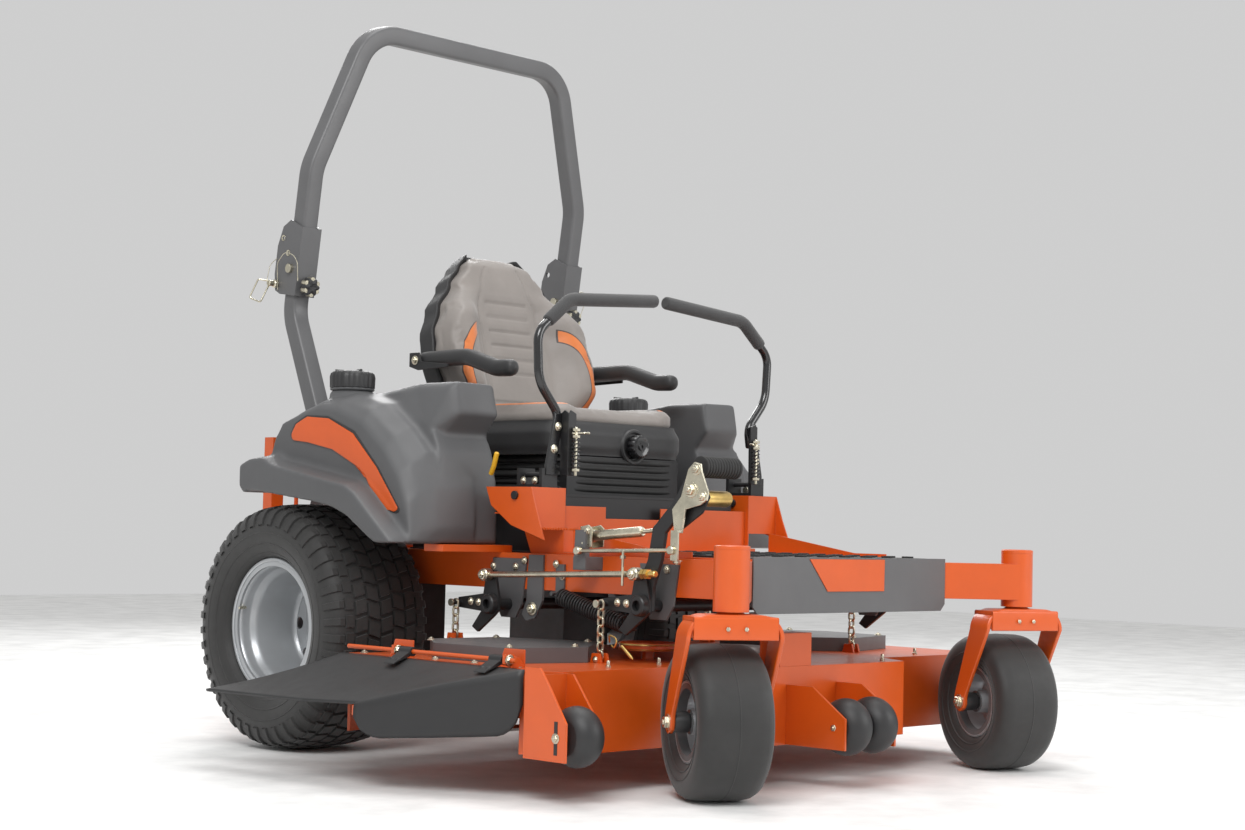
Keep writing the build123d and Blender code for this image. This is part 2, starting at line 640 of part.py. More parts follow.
def caster(side, steer):
    """Fork with axle and spacers, tyre and rim, swivelled by the steer angle."""
    angle = radians(-steer)
    across = Vector(cos(angle), sin(angle), 0)
    back = Vector(-sin(angle), cos(angle), 0)
    pivot = Vector(side * CASTER_X, -WHEELBASE, 0)
    hub_centre = pivot + back * TRAIL + Vector(0, 0, CASTER_RADIUS)

    def spot(u, v, z):
        return pivot + across * u + back * v + Vector(0, 0, z)

    def leg(sign):
        plane = Plane(origin=spot(sign * FORK_INNER, 0, 0), x_dir=back, z_dir=across)
        with BuildPart() as bar:
            with BuildSketch(plane):
                outline((-32, FORK_TOP), (32, FORK_TOP), (40, 330), (TRAIL + 24, 190), (TRAIL + 24, 150),
                        (TRAIL, 141), (TRAIL - 26, 150), (TRAIL - 30, 190), (-14, 330))
                with Locations((TRAIL, CASTER_RADIUS)):
                    Circle(AXLE_R, mode=Mode.SUBTRACT)
            extrude(amount=sign * FORK_BAR)
        return bar.part

    with BuildPart() as crown:
        with BuildSketch(Plane(origin=spot(0, 0, 350), x_dir=across, z_dir=(0, 0, 1))):
            Rectangle(2 * FORK_INNER, 76)
        extrude(amount=FORK_TOP - 350)
        with BuildSketch(Plane(origin=spot(0, 0, 349), x_dir=across, z_dir=(0, 0, 1))):
            Rectangle(2 * FORK_INNER - 12, 64)
        extrude(amount=FORK_TOP - 350 - 7, mode=Mode.SUBTRACT)
    collar = rod(spot(0, 0, FORK_TOP), spot(0, 0, TUBE_LOW - GAP), 22)
    spindle = rod(spot(0, 0, TUBE_LOW - GAP), spot(0, 0, TUBE_TOP - PLATE - 6), SPINDLE_R)
    fork = leg(-1) + leg(1) + crown.part + collar + spindle
    bolt = rod(spot(-FORK_INNER - FORK_BAR, TRAIL, CASTER_RADIUS),
               spot(FORK_INNER + FORK_BAR, TRAIL, CASTER_RADIUS),
               AXLE_R)
    heads = [rod(spot(s * (FORK_INNER + FORK_BAR), TRAIL, CASTER_RADIUS),
                 spot(s * (FORK_INNER + FORK_BAR + 12), TRAIL, CASTER_RADIUS), 15) for s in (-1, 1)]
    hub_half = 60
    spacers = [rod(spot(s * (hub_half + GAP), TRAIL, CASTER_RADIUS),
                   spot(s * FORK_INNER, TRAIL, CASTER_RADIUS),
                   17, AXLE_R) for s in (-1, 1)]
    centre = (hub_centre.X, hub_centre.Y, hub_centre.Z)
    axle = (across.X, across.Y, 0)
    rubber = tyre(centre, axle, CASTER_RADIUS, CASTER_WIDTH, CASTER_BEAD, CASTER_FLANGE, 10)
    steel = rim(centre, axle, CASTER_WIDTH, CASTER_BEAD, CASTER_FLANGE, 26, 0, hub_half, AXLE_R + RUNNING,
                tyre_radius=CASTER_RADIUS)
    return [fork, bolt, *heads, *spacers], rubber, steel


for label, side, steer in (("right", -1, STEER_RIGHT), ("left", 1, STEER_LEFT)):
    fork, rubber, steel = caster(side, steer)
    keep("caster_fork_" + label, *fork)
    keep("caster_tyre_" + label, rubber)
    keep("caster_rim_" + label, steel)

# ==== lift linkage ==========================================================================

PIN_END = CHAIN_X + 14
SPRING_X = -400
SPRING_R = 17
HOOK_R = 4
SPRING_PIN_R = 5
spring_rear = Vector(SPRING_X, -738, 405)
spring_front = Vector(SPRING_X, -949, 350)
spring_way = (spring_front - spring_rear).normalized()
hook_rear = spring_rear - spring_way * 20
hook_front = spring_front + spring_way * 25
spring_pin_rear = hook_rear - spring_way * (SPRING_PIN_R + GAP)
spring_pin_front = hook_front + spring_way * (SPRING_PIN_R + GAP)


def crank(shaft, side):
    """Crank plate with its chain pin and its spring ear, on one end of a lift shaft."""
    y, z = shaft
    inner = side * CRANK_X
    outer = side * (CRANK_X + CRANK_PLATE)
    oy, oz = ROD_OFFSET
    plate = plate_x(inner, outer,
                    [(y - 24, z - 14), (y - 8, z - 28), (y + 48, z - 68), (y + 68, z - 56), (y + 36, z - 18),
                     (y + CHAIN_ARM + 10, z - 12), (y + CHAIN_ARM + 10, z + 12), (y + 30, z + 24),
                     (y + oy + 14, z + oz + 12), (y + oy - 14, z + oz + 12), (y - 24, z + 14)],
                    [(y, z, SHAFT_R)])
    pin = rod((outer, y + CHAIN_ARM, z), (side * PIN_END, y + CHAIN_ARM, z), PIN_R)
    return [plate, pin]


def lift_shaft(shaft):
    """Cross shaft with a crank at each end and the rod pin on the right."""
    y, z = shaft
    bar = rod((-CRANK_X - CRANK_PLATE - 4, y, z), (CRANK_X + CRANK_PLATE + 4, y, z), SHAFT_R)
    rod_pin = rod((-CRANK_X - CRANK_PLATE, y + ROD_OFFSET[0], z + ROD_OFFSET[1]),
                  (-PIN_END, y + ROD_OFFSET[0], z + ROD_OFFSET[1]), PIN_R)
    return [bar, *crank(shaft, -1), *crank(shaft, 1), rod_pin]


PEDAL_X = -418
pedal_arm = plate_x(PEDAL_X - 10, PEDAL_X,
                    [(-1010, 385), (-1060, 385), (-1062, 440), (-1085, 500), (-1095, 560), (-1150, 615),
                     (-1185, 680), (-1160, 692), (-1120, 630), (-1058, 570), (-1045, 500), (-1010, 430)],
                    [(*FRONT_SHAFT, SHAFT_R)])
pedal_plate = plate_x(PEDAL_X, PEDAL_X + 6,
                      [(-1180, 688), (-1215, 640), (-1195, 605), (-1130, 565), (-1112, 580),
                       (-1135, 630), (-1160, 690)])
pedal_peg = rod((PEDAL_X + 6, -1190, 637), (-330, -1190, 637), 16)
crank_spring_pin = rod((-CRANK_X, spring_pin_front.Y, spring_pin_front.Z),
                       (SPRING_X + 6, spring_pin_front.Y, spring_pin_front.Z), SPRING_PIN_R)
keep("lift_pedal", *lift_shaft(FRONT_SHAFT), pedal_arm, pedal_plate, pedal_peg, crank_spring_pin)
keep("lift_rear_shaft", *lift_shaft(REAR_SHAFT))

ROD_X = -450
ROD_R = 7
front_pin = (ROD_X, FRONT_SHAFT[0] + ROD_OFFSET[0], FRONT_SHAFT[1] + ROD_OFFSET[1])
rear_pin = (ROD_X, REAR_SHAFT[0] + ROD_OFFSET[0], REAR_SHAFT[1] + ROD_OFFSET[1])
rod_way = (Vector(*front_pin) - Vector(*rear_pin)).normalized()
with BuildPart() as lift_rod:
    with BuildSketch(Plane(origin=rear_pin, z_dir=rod_way)):
        Circle(ROD_R)
    extrude(amount=(Vector(*front_pin) - Vector(*rear_pin)).length + 50)
    for pin in (front_pin, rear_pin):
        with BuildSketch(Plane.YZ.offset(ROD_X - 11)):
            with Locations((pin[1], pin[2])):
                Circle(14)
        extrude(amount=22)
    for pin in (front_pin, rear_pin):
        with BuildSketch(Plane.YZ.offset(ROD_X - 12)):
            with Locations((pin[1], pin[2])):
                Circle(PIN_R + RUNNING)
        extrude(amount=24, mode=Mode.SUBTRACT)
keep("lift_rod", lift_rod.part)

spring_body = rod(spring_rear, spring_front, SPRING_R)
spring_hooks = [rod(hook_rear, spring_rear, HOOK_R), rod(spring_front, hook_front, HOOK_R)]
STRUT_X = -425
strut = rod((STRUT_X, -1010, 562), (STRUT_X, -850.4, 549), 11)
strut_rod = rod((STRUT_X, -1054, 565.5), (STRUT_X, -1010, 562), 5)
keep("assist_spring", spring_body, *spring_hooks, strut, strut_rod)


def chain(side, shaft, count):
    """Hanging chain of round links from a crank's pin to the deck."""
    y, z = shaft[0] + CHAIN_ARM, shaft[1] - HOOK_DROP
    links = []
    for index in range(count):
        centre = (side * CHAIN_X, y, z - index * LINK_PITCH)
        facing = (1, 0, 0) if index % 2 == 0 else (0, 1, 0)
        with BuildPart(Plane(origin=centre, z_dir=facing)) as link:
            Torus(LINK_R, LINK_WIRE)
        links.append(link.part)
    return links


keep("deck_chains", *chain(-1, FRONT_SHAFT, FRONT_LINKS), *chain(1, FRONT_SHAFT, FRONT_LINKS),
     *chain(-1, REAR_SHAFT, REAR_LINKS), *chain(1, REAR_SHAFT, REAR_LINKS))


def shaft_bracket(shaft, side):
    """Plate on the rail's outer face that carries a lift shaft."""
    y, z = shaft
    return plate_x(side * RAIL_OUTER, side * (RAIL_OUTER + 6),
                   [(y - 45, z), (y - 25, z - 32), (y + 25, z - 32), (y + 45, z),
                    (y + 60, 490), (y - 60, 490)],
                   [(y, z, SHAFT_R + RUNNING)])


brackets = [shaft_bracket(shaft, side) for shaft in (FRONT_SHAFT, REAR_SHAFT) for side in (-1, 1)]
stay = plate_x(-RAIL_OUTER, -RAIL_OUTER - 6,
               [(-655, 500), (-655, 392), (-630, 350), (-600, 342), (-585, 358), (-600, 392), (-605, 500)])
post_y = spring_pin_rear.Y
spring_post = plate_x(-RAIL_OUTER, -RAIL_OUTER - 6,
                      [(post_y - 14, 398), (post_y + 14, 398), (post_y + 14, 480), (post_y - 14, 480)])
spring_peg = rod((-RAIL_OUTER - 6, post_y, spring_pin_rear.Z), (SPRING_X - 8, post_y, spring_pin_rear.Z),
                 SPRING_PIN_R)
strut_post = plate_x(-RAIL_OUTER, -432, [(-850, 470), (-810, 470), (-810, 500), (-850, 500)])
strut_clevis = plate_x(-432, -418, [(-849, 500), (-812, 500), (-815, 562), (-849, 562)])
keep("linkage_brackets", *brackets, stay, spring_post, spring_peg, strut_post, strut_clevis)

# ==== deck ==================================================================================

DECK_EDGE = [(-735, -1105), (-350, -1105), (-290, -1215), (290, -1215), (350, -1105), (735, -1105),
             (800, -1030), (800, -560), (690, -420), (-690, -420), (-790, -450), (-790, -1030)]
SKIRT = 5


def inner_corner(before, corner, after):
    """Corner of the outline moved inwards by the skirt's thickness."""
    a = (Vector(*corner) - Vector(*before)).normalized()
    b = (Vector(*after) - Vector(*corner)).normalized()
    normal_a = Vector(-a.Y, a.X)
    normal_b = Vector(-b.Y, b.X)
    middle = (normal_a + normal_b).normalized()
    inner = Vector(*corner) + middle * (SKIRT / middle.dot(normal_a))
    return (inner.X, inner.Y)


def deck_pieces():
    """Top plate and mitred skirt plates; the right side is open below its top strip."""
    spots = [(-SPINDLE_X, SPINDLE_Y), (0, CENTRE_SPINDLE_Y), (SPINDLE_X, SPINDLE_Y)]
    made = [plate_z(DECK_TOP - SKIRT, DECK_TOP, DECK_EDGE, [(x, y, BLADE_SHAFT_R + 8) for x, y in spots])]
    count = len(DECK_EDGE)
    inner = [inner_corner(DECK_EDGE[i - 1], DECK_EDGE[i], DECK_EDGE[(i + 1) % count]) for i in range(count)]
    for i in range(count):
        j = (i + 1) % count
        low = 215 if DECK_EDGE[i][0] == -790 and DECK_EDGE[j][0] == -790 else DECK_LOW
        made.append(plate_z(low, DECK_TOP - SKIRT, [DECK_EDGE[i], DECK_EDGE[j], inner[j], inner[i]]))
    for x, y in spots:
        housing = rod((x, y, DECK_TOP), (x, y, DECK_TOP + 12), 62, BLADE_SHAFT_R + RUNNING)
        made.append(housing)
    return made


keep("deck_shell", *deck_pieces())


def belt_cover(side):
    """Hollow cover over one outer spindle and its belt run."""
    corners = [(side * 700, -640), (side * 600, -510), (side * 400, -520), (side * 290, -760),
               (side * 480, -915), (side * 680, -860)]
    with BuildPart() as cover:
        with BuildSketch(Plane.XY.offset(DECK_TOP)):
            outline(*corners)
        extrude(amount=COVER_TOP - DECK_TOP)
        with BuildSketch(Plane.XY.offset(DECK_TOP)):
            outline(*corners)
            offset(amount=-SHEET, kind=Kind.INTERSECTION, mode=Mode.REPLACE)
        extrude(amount=COVER_TOP - DECK_TOP - SHEET, mode=Mode.SUBTRACT)
    return cover.part


keep("belt_covers", belt_cover(-1), belt_cover(1))


def blade_set(x, y):
    """Blade bar, spindle shaft and pulley, all on one axis."""
    z = 108
    with BuildPart() as bar:
        with Locations((x, y, z + 3)):
            Box(BLADE_LENGTH, 64, 6)
            Cylinder(BLADE_SHAFT_R, 10, mode=Mode.SUBTRACT)
        for s in (-1, 1):
            with Locations((x + s * (BLADE_LENGTH / 2 - 60), y + s * 26, z + 12)):
                Box(120, 12, 18)
    shaft = rod((x, y, z - 8), (x, y, 295), BLADE_SHAFT_R)
    pulley = rod((x, y, 279), (x, y, 293), 70, BLADE_SHAFT_R)
    return bar.part, shaft, pulley


keep("blade_right", *blade_set(-SPINDLE_X, SPINDLE_Y))
keep("blade_centre", *blade_set(0, CENTRE_SPINDLE_Y))
keep("blade_left", *blade_set(SPINDLE_X, SPINDLE_Y))

ROLLER_X = 773
ROLLER_Y = -1187
ROLLER_Z = 139
CENTRE_ROLLERS = (-100, -8)
CENTRE_ROLLER_Y = -1352
ROLLER_AXLE_R = 8
END_PLATE_REAR = -1090


def roller(x, y):
    """Barrel-shaped anti-scalp roller with its bore along X."""
    half = ROLLER_WIDTH / 2
    with BuildPart() as barrel:
        with BuildSketch(Plane(origin=(x, y, ROLLER_Z), x_dir=(1, 0, 0), z_dir=(0, -1, 0))):
            with BuildLine():
                Polyline((-half, ROLLER_R - 26), (-half, ROLLER_AXLE_R + RUNNING),
                         (half, ROLLER_AXLE_R + RUNNING), (half, ROLLER_R - 26))
                ThreePointArc((half, ROLLER_R - 26), (0, ROLLER_R), (-half, ROLLER_R - 26))
            make_face()
        revolve(axis=Axis((x, y, ROLLER_Z), (1, 0, 0)))
    return barrel.part


keep("roller_right", roller(-ROLLER_X, ROLLER_Y))
keep("roller_left", roller(ROLLER_X, ROLLER_Y))
keep("roller_centre", *[roller(x, CENTRE_ROLLER_Y) for x in CENTRE_ROLLERS])


def corner_bracket(side):
    """End plate, web, inner plate and axle of a front corner roller."""
    outer = side * 833
    half = ROLLER_WIDTH / 2 + 1
    end = plate_x(outer, outer - side * 6,
                  [(END_PLATE_REAR, 91), (-1215, 91), (-1215, 170), (-1165, 240), (-1135, 278),
                   (END_PLATE_REAR, 278)])
    web = block(outer - side * 6, side * (ROLLER_X - half), -1111, -1105, 91, 262)
    inner = plate_x(side * (ROLLER_X - half), side * (ROLLER_X - half - 6),
                    [(-1105, 105), (-1205, 105), (-1205, 170), (-1130, 262), (-1105, 262)])
    axle = rod((outer - side * 6, ROLLER_Y, ROLLER_Z), (side * (ROLLER_X - half), ROLLER_Y, ROLLER_Z),
               ROLLER_AXLE_R)
    return end, web, inner, axle


def centre_bracket():
    """Two plates and an axle ahead of the deck for the centre rollers."""
    side_plate = [(-1215, 91), (-1385, 91), (-1385, 160), (-1290, 225), (-1215, 225)]
    left = CENTRE_ROLLERS[1] + ROLLER_WIDTH / 2 + 2
    right = CENTRE_ROLLERS[0] - ROLLER_WIDTH / 2 - 2
    plates = [plate_x(left, left + 6, side_plate), plate_x(right - 6, right, side_plate)]
    axle = rod((right, CENTRE_ROLLER_Y, ROLLER_Z), (left, CENTRE_ROLLER_Y, ROLLER_Z), ROLLER_AXLE_R)
    return [*plates, axle]


def chain_clevis(side, shaft, count):
    """Two ears and a pin that hold a chain's lowest link."""
    y = shaft[0] + CHAIN_ARM
    pin_z = shaft[1] - 2 * HOOK_DROP - (count - 1) * LINK_PITCH
    ears = [plate_x(side * (CHAIN_X + x), side * (CHAIN_X + x + 6),
                    [(y - 18, DECK_TOP), (y + 18, DECK_TOP), (y + 12, pin_z + 8), (y - 12, pin_z + 8)])
            for x in (-14, 8)]
    pin = rod((side * (CHAIN_X - 8), y, pin_z), (side * (CHAIN_X + 8), y, pin_z), PIN_R)
    return [*ears, pin]


HINGE_PIN_R = 5
rear_ledges = [block(side * 410, side * 480, -420, -400, DECK_TOP - 10, DECK_TOP) for side in (-1, 1)]
hinge_strip = plate_z(DECK_TOP, DECK_TOP + PLATE, [(-790, -1030), (-750, -1030), (-750, -450), (-790, -450)])
hinge_ears = [plate_y(y - 4, y + 4, [(-790, DECK_TOP + PLATE), (-760, DECK_TOP + PLATE),
                                     (-785, HINGE_Z + 12), (-812, HINGE_Z + 12), (-812, HINGE_Z - 8)])
              for y in (-1001, -633)]
hinge_pin = rod((-HINGE_X, -1026, HINGE_Z), (-HINGE_X, -460, HINGE_Z), HINGE_PIN_R)
lift_box = box_tube(-170, -60, -1215, -1155, DECK_TOP, 340, "x")
idler = rod((-250, -880, DECK_TOP), (-250, -880, 286), 14)
idler_wheel = rod((-250, -880, 286), (-250, -880, 304), 68)
keep("deck_brackets", *corner_bracket(-1), *corner_bracket(1), *centre_bracket(),
     *chain_clevis(-1, FRONT_SHAFT, FRONT_LINKS), *chain_clevis(1, FRONT_SHAFT, FRONT_LINKS),
     *chain_clevis(-1, REAR_SHAFT, REAR_LINKS), *chain_clevis(1, REAR_SHAFT, REAR_LINKS),
     *rear_ledges, hinge_strip, *hinge_ears, hinge_pin, lift_box, idler, idler_wheel)

# Discharge chute: a sloping sheet with a front wall, turning about the hinge pin
CHUTE_DROP = 26.6
drop_cos = cos(radians(CHUTE_DROP))
drop_sin = sin(radians(CHUTE_DROP))
chute_plane = Plane(origin=(-HINGE_X, 0, HINGE_Z - 9), x_dir=(-drop_cos, 0, -drop_sin),
                    z_dir=(-drop_sin, 0, drop_cos))
KNUCKLE_R = 11
KNUCKLE_YS = ((-990, -950), (-690, -650))
with BuildPart() as chute:
    with BuildSketch(chute_plane):
        outline((12, 1070), (210, 715), (228, 190), (12, 450))
    extrude(amount=-8)
    with BuildSketch(Plane.XY.offset(104)):
        outline((-811, -1070), (-988, -715), (-981, -711), (-811, -1053))
    extrude(amount=150)
    split(bisect_by=chute_plane, keep=Keep.BOTTOM)
    for front, back in KNUCKLE_YS:
        with BuildSketch(chute_plane.offset(-8)):
            outline((-4, -front), (14, -front), (14, -back), (-4, -back))
        extrude(amount=12)
        with BuildSketch(Plane.XZ.offset(-back)):
            with Locations((-HINGE_X, HINGE_Z)):
                Circle(KNUCKLE_R)
        extrude(amount=back - front)
    with BuildSketch(Plane.XZ.offset(440)):
        with Locations((-HINGE_X, HINGE_Z)):
            Circle(HINGE_PIN_R + RUNNING)
    extrude(amount=600, mode=Mode.SUBTRACT)
keep("discharge_chute", chute.part)

# ==== levers ================================================================================


def lever_set(side):
    """Carrier, lever with its strap, and grip on one side."""
    cy, cz = CARRIER_SHAFT
    shaft = rod((side * (TOWER_OUTER + 6), cy, cz), (side * (TOWER_INNER - 6), cy, cz), 10)
    body = block(side * 400, side * 350, -664, -576, 625, 668)
    ears = [block(side * 400, side * 350, y, y + 10, 668, SWING_Z + 16) for y in (-664, -586)]
    pin = rod((side * SWING_X, -664, SWING_Z), (side * SWING_X, -576, SWING_Z), PIN_R)
    carrier = body + ears[0] + ears[1] + pin + shaft
    top = Vector(side * 341, LEVER_Y, 833)
    strap_low = Vector(side * SWING_X, LEVER_Y, SWING_Z)
    lean = (top - strap_low).normalized()
    with BuildPart() as strap:
        with BuildSketch(Plane(origin=strap_low, z_dir=lean, x_dir=(0, 1, 0))):
            with Locations((5, 0)):
                Rectangle(8, 36)
        extrude(amount=(top - strap_low).length)
        with BuildSketch(Plane.XZ.offset(653.7)):
            with Locations((side * SWING_X, SWING_Z)):
                Circle(14)
        extrude(amount=-67.4)
        with BuildSketch(Plane.XZ.offset(700)):
            with Locations((side * SWING_X, SWING_Z)):
                Circle(PIN_R + RUNNING)
        extrude(amount=-200, mode=Mode.SUBTRACT)
    with BuildPart() as tube:
        with BuildLine() as path:
            FilletPolyline((side * 352, LEVER_Y, 785), (side * 341, LEVER_Y, 833),
                           (side * 412, LEVER_Y, 916), (side * 417.3, LEVER_Y, 1030.6), (side * 390, LEVER_Y, 1052),
                           radius=[40, 60, 25])
        with BuildSketch(Plane(origin=path.line @ 0, z_dir=path.line % 0)):
            Circle(LEVER_R)
        sweep(path=path.line)
    return carrier, strap.part + tube.part


def grip(side):
    """Foam grip over the lever's bent top end."""
    with BuildPart() as foam:
        with BuildLine() as path:
            FilletPolyline((side * 390, LEVER_Y, 1052), (side * 312, LEVER_Y, 1113),
                           (side * 12, LEVER_Y, 1139), radius=80)
        with BuildSketch(Plane(origin=path.line @ 0, z_dir=path.line % 0)):
            Circle(GRIP_R)
        sweep(path=path.line)
    return foam.part


for label, side in (("right", -1), ("left", 1)):
    carrier, lever = lever_set(side)
    keep("lever_carrier_" + label, carrier)
    keep("control_lever_" + label, lever)
    keep("lever_grip_" + label, grip(side))

# ==== seat ==================================================================================

pedestal = box_tube(-300, 300, -640, -75, RAIL_TOP, 640, "z")
pedestal_feet = [block(side * 300, side * 330, -560, -100, RAIL_TOP, RAIL_TOP + PLATE) for side in (-1, 1)]
pedestal_top = block(-300, 300, -640, -75, 640, 646)
suspension = box_tube(-200, 200, -540, -130, 646, SEAT_BASE_TOP, "z", 8)
keep("seat_base", pedestal, *pedestal_feet, pedestal_top, suspension)

pan = block(-230, 230, -535, -95, SEAT_BASE_TOP + GAP, CUSHION_LOW)
BACK_LEAN = 17
BACK_FOOT_Y = -140
ARM_INNER = 266
ARM_WIDTH = 48
ARM_PIN_R = 8
back_plane = Plane(origin=(0, BACK_FOOT_Y, 800), x_dir=(1, 0, 0),
                   z_dir=(0, -cos(radians(BACK_LEAN)), sin(radians(BACK_LEAN))))
BACK_SHAPE = [(-200, -8), (200, -8), (262, 120), (262, 270), (232, 345), (120, 490), (86, 515),
              (-86, 515), (-120, 490), (-232, 345), (-262, 270), (-262, 120)]
with BuildPart() as back_shell:
    with BuildSketch(back_plane):
        outline(*BACK_SHAPE)
    extrude(amount=-25)
boss_y, boss_z = ARM_PIVOT
bosses = [rod((side * 250, boss_y, boss_z), (side * ARM_INNER, boss_y, boss_z), 11) for side in (-1, 1)]
boss_pins = [rod((side * ARM_INNER, boss_y, boss_z), (side * (ARM_INNER + 44), boss_y, boss_z), ARM_PIN_R)
             for side in (-1, 1)]
shell = back_shell.part + bosses[0] + bosses[1] + boss_pins[0] + boss_pins[1]
keep("seat_shell", pan, shell)

with BuildPart() as seat_cushion:
    with Locations((0, (SEAT_FRONT - 165) / 2, CUSHION_LOW + 35)):
        Box(480, -165 - SEAT_FRONT, 70)
    fillet(seat_cushion.faces().sort_by(Axis.Z)[-1].edges(), 22)
keep("seat_cushion", seat_cushion.part)

with BuildPart() as seat_backrest:
    with BuildSketch(back_plane):
        outline(*[(x * 0.94, max(z, 62) if z < 100 else z - 12) for x, z in BACK_SHAPE])
    extrude(amount=60)
    fillet(seat_backrest.faces().sort_by(Axis.Y)[0].edges(), 20)
keep("seat_backrest", seat_backrest.part)

with BuildPart() as seat_knob:
    with BuildSketch(Plane.XZ.offset(545)):
        with Locations(KNOB):
            Circle(30)
            with PolarLocations(32, 12):
                Circle(4, mode=Mode.SUBTRACT)
    extrude(amount=30)
    with BuildSketch(Plane.XZ.offset(535 + GAP)):
        with Locations(KNOB):
            Circle(8)
    extrude(amount=10 - GAP)
keep("seat_knob", seat_knob.part)


def armrest(side):
    """Padded armrest on its pivot pin."""
    with BuildPart() as pad:
        with BuildSketch(Plane.YZ.offset(side * (ARM_INNER + GAP))):
            outline((boss_y + 24, boss_z + 10), (boss_y + 24, boss_z - 18), (boss_y + 8, boss_z - 26),
                    (-300, 962), (-440, 968), (-452, 985), (-445, 1000), (-250, 1012), (boss_y, 1016))
            with Locations((boss_y, boss_z)):
                Circle(ARM_PIN_R + RUNNING, mode=Mode.SUBTRACT)
        extrude(amount=side * ARM_WIDTH)
    return pad.part


keep("armrest_right", armrest(-1))
keep("armrest_left", armrest(1))

# ==== export ================================================================================

boxes = [piece.bounding_box() for piece in pieces.values()]
middle_x = (min(box.min.X for box in boxes) + max(box.max.X for box in boxes)) / 2
middle_y = (min(box.min.Y for box in boxes) + max(box.max.Y for box in boxes)) / 2
lowest = min(box.min.Z for box in boxes)
print("machine origin moves by", -middle_x, -middle_y, "lowest point", lowest)

os.makedirs("parts", exist_ok=True)
for name, piece in pieces.items():
    piece = Pos(-middle_x, -middle_y, 0) * piece
    piece.label = name
    export_step(piece, f"parts/{name}.step")
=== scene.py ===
import json
import math

import bmesh
import bpy
from mathutils import Matrix, Vector
from mathutils.bvhtree import BVHTree


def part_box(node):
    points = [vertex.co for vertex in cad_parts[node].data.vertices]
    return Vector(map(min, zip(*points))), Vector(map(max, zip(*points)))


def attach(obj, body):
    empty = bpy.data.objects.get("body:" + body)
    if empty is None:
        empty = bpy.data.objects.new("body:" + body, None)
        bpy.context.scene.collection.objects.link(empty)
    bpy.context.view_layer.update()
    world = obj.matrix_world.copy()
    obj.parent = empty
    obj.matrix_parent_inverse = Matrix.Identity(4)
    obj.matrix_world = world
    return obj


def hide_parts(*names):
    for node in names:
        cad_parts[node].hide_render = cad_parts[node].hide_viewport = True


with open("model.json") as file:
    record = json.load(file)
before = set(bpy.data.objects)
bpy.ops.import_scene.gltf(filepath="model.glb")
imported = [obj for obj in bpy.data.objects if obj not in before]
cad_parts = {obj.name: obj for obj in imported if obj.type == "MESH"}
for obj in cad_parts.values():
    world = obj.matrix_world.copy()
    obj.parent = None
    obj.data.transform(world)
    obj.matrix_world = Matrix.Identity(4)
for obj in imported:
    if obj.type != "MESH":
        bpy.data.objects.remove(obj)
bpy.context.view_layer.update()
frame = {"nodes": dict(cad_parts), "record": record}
scene = bpy.context.scene

# The machine frame used below: millimetres, x = 0 on the centre plane, y = 0 on the rear axle,
# z = 0 on the ground, the machine's right is -X and its front is -Y.
low_right, high_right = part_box("rear_tyre_right")
low_left, high_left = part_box("rear_tyre_left")
ORIGIN = Vector(((low_right.x + high_left.x) / 2, (low_right.y + high_right.y) / 2, 0))
SIDES = (("right", -1), ("left", 1))
V = Vector
# the CAD model's driving sizes that the looks are hung on
REAR_X, REAR_RADIUS = 561, 305
CASTER_X, CASTER_RADIUS, WHEELBASE, TRAIL, FORK_TOP = 521, 165, 1377, 82, 395
RAIL_X, RAIL_TOP = 350, 503
ROPS_X, ROPS_Y, PIVOT_Z, FORWARD_TILT = 480, 205, 1230, 8.1
LEVER_Y = -655
HINGE_X, HINGE_Z = -800, 285
# the camera as it was solved from the photo: yaw, pitch and roll in degrees, place in millimetres
CAMERA_TURN = (45.274, -3.076, 1.339)
CAMERA_PLACE = (-3777.6, -4272.6, 570.1)
CAMERA_LENS = 60.39


def spot(x, y, z):
    """A machine-frame point in metres of the row frame."""
    return ORIGIN + V((x, y, z)) / 1000


def linked(name, data):
    """A new object in the scene."""
    made = bpy.data.objects.new(name, data)
    scene.collection.objects.link(made)
    return made


# ==== camera and light ======================================================================


def add_camera():
    yaw, pitch, roll = (math.radians(turn) for turn in CAMERA_TURN)
    ahead = V((math.sin(yaw) * math.cos(pitch), math.cos(yaw) * math.cos(pitch), -math.sin(pitch)))
    flat_right = V((math.cos(yaw), -math.sin(yaw), 0))
    flat_up = flat_right.cross(ahead)
    right = flat_right * math.cos(roll) + flat_up * math.sin(roll)
    up = flat_up * math.cos(roll) - flat_right * math.sin(roll)
    data = bpy.data.cameras.new("camera")
    data.lens = CAMERA_LENS
    data.sensor_width = 36
    data.clip_end = 100
    camera = linked("camera", data)
    basis = Matrix((right, up, -ahead)).transposed().to_4x4()
    camera.matrix_world = Matrix.Translation(spot(*CAMERA_PLACE)) @ basis
    scene.camera = camera


def area_light(name, place, target, size, power):
    data = bpy.data.lights.new(name, "AREA")
    data.shape = "DISK"
    data.size = size
    data.energy = power
    light = linked(name, data)
    light.location = place
    light.rotation_euler = (V(target) - V(place)).to_track_quat("-Z", "Y").to_euler()


add_camera()
scene.view_settings.view_transform = "Standard"
area_light("key", (-3.6, -2.6, 4.2), (0, 0, 0.5), 2.6, 170)
area_light("fill", (2.2, -4.6, 2.4), (0, -0.4, 0.5), 2.8, 85)
area_light("rim", (2.6, 3.8, 3.6), (0, 0, 0.8), 2.4, 110)
area_light("top", (0.2, 0.2, 5.2), (0, 0, 0), 3.2, 90)
world = bpy.data.worlds.new("studio")
scene.world = world
world.use_nodes = True
sky = world.node_tree.nodes["Background"]
sky.inputs["Color"].default_value = (1, 1, 1, 1)
sky.inputs["Strength"].default_value = 0.62

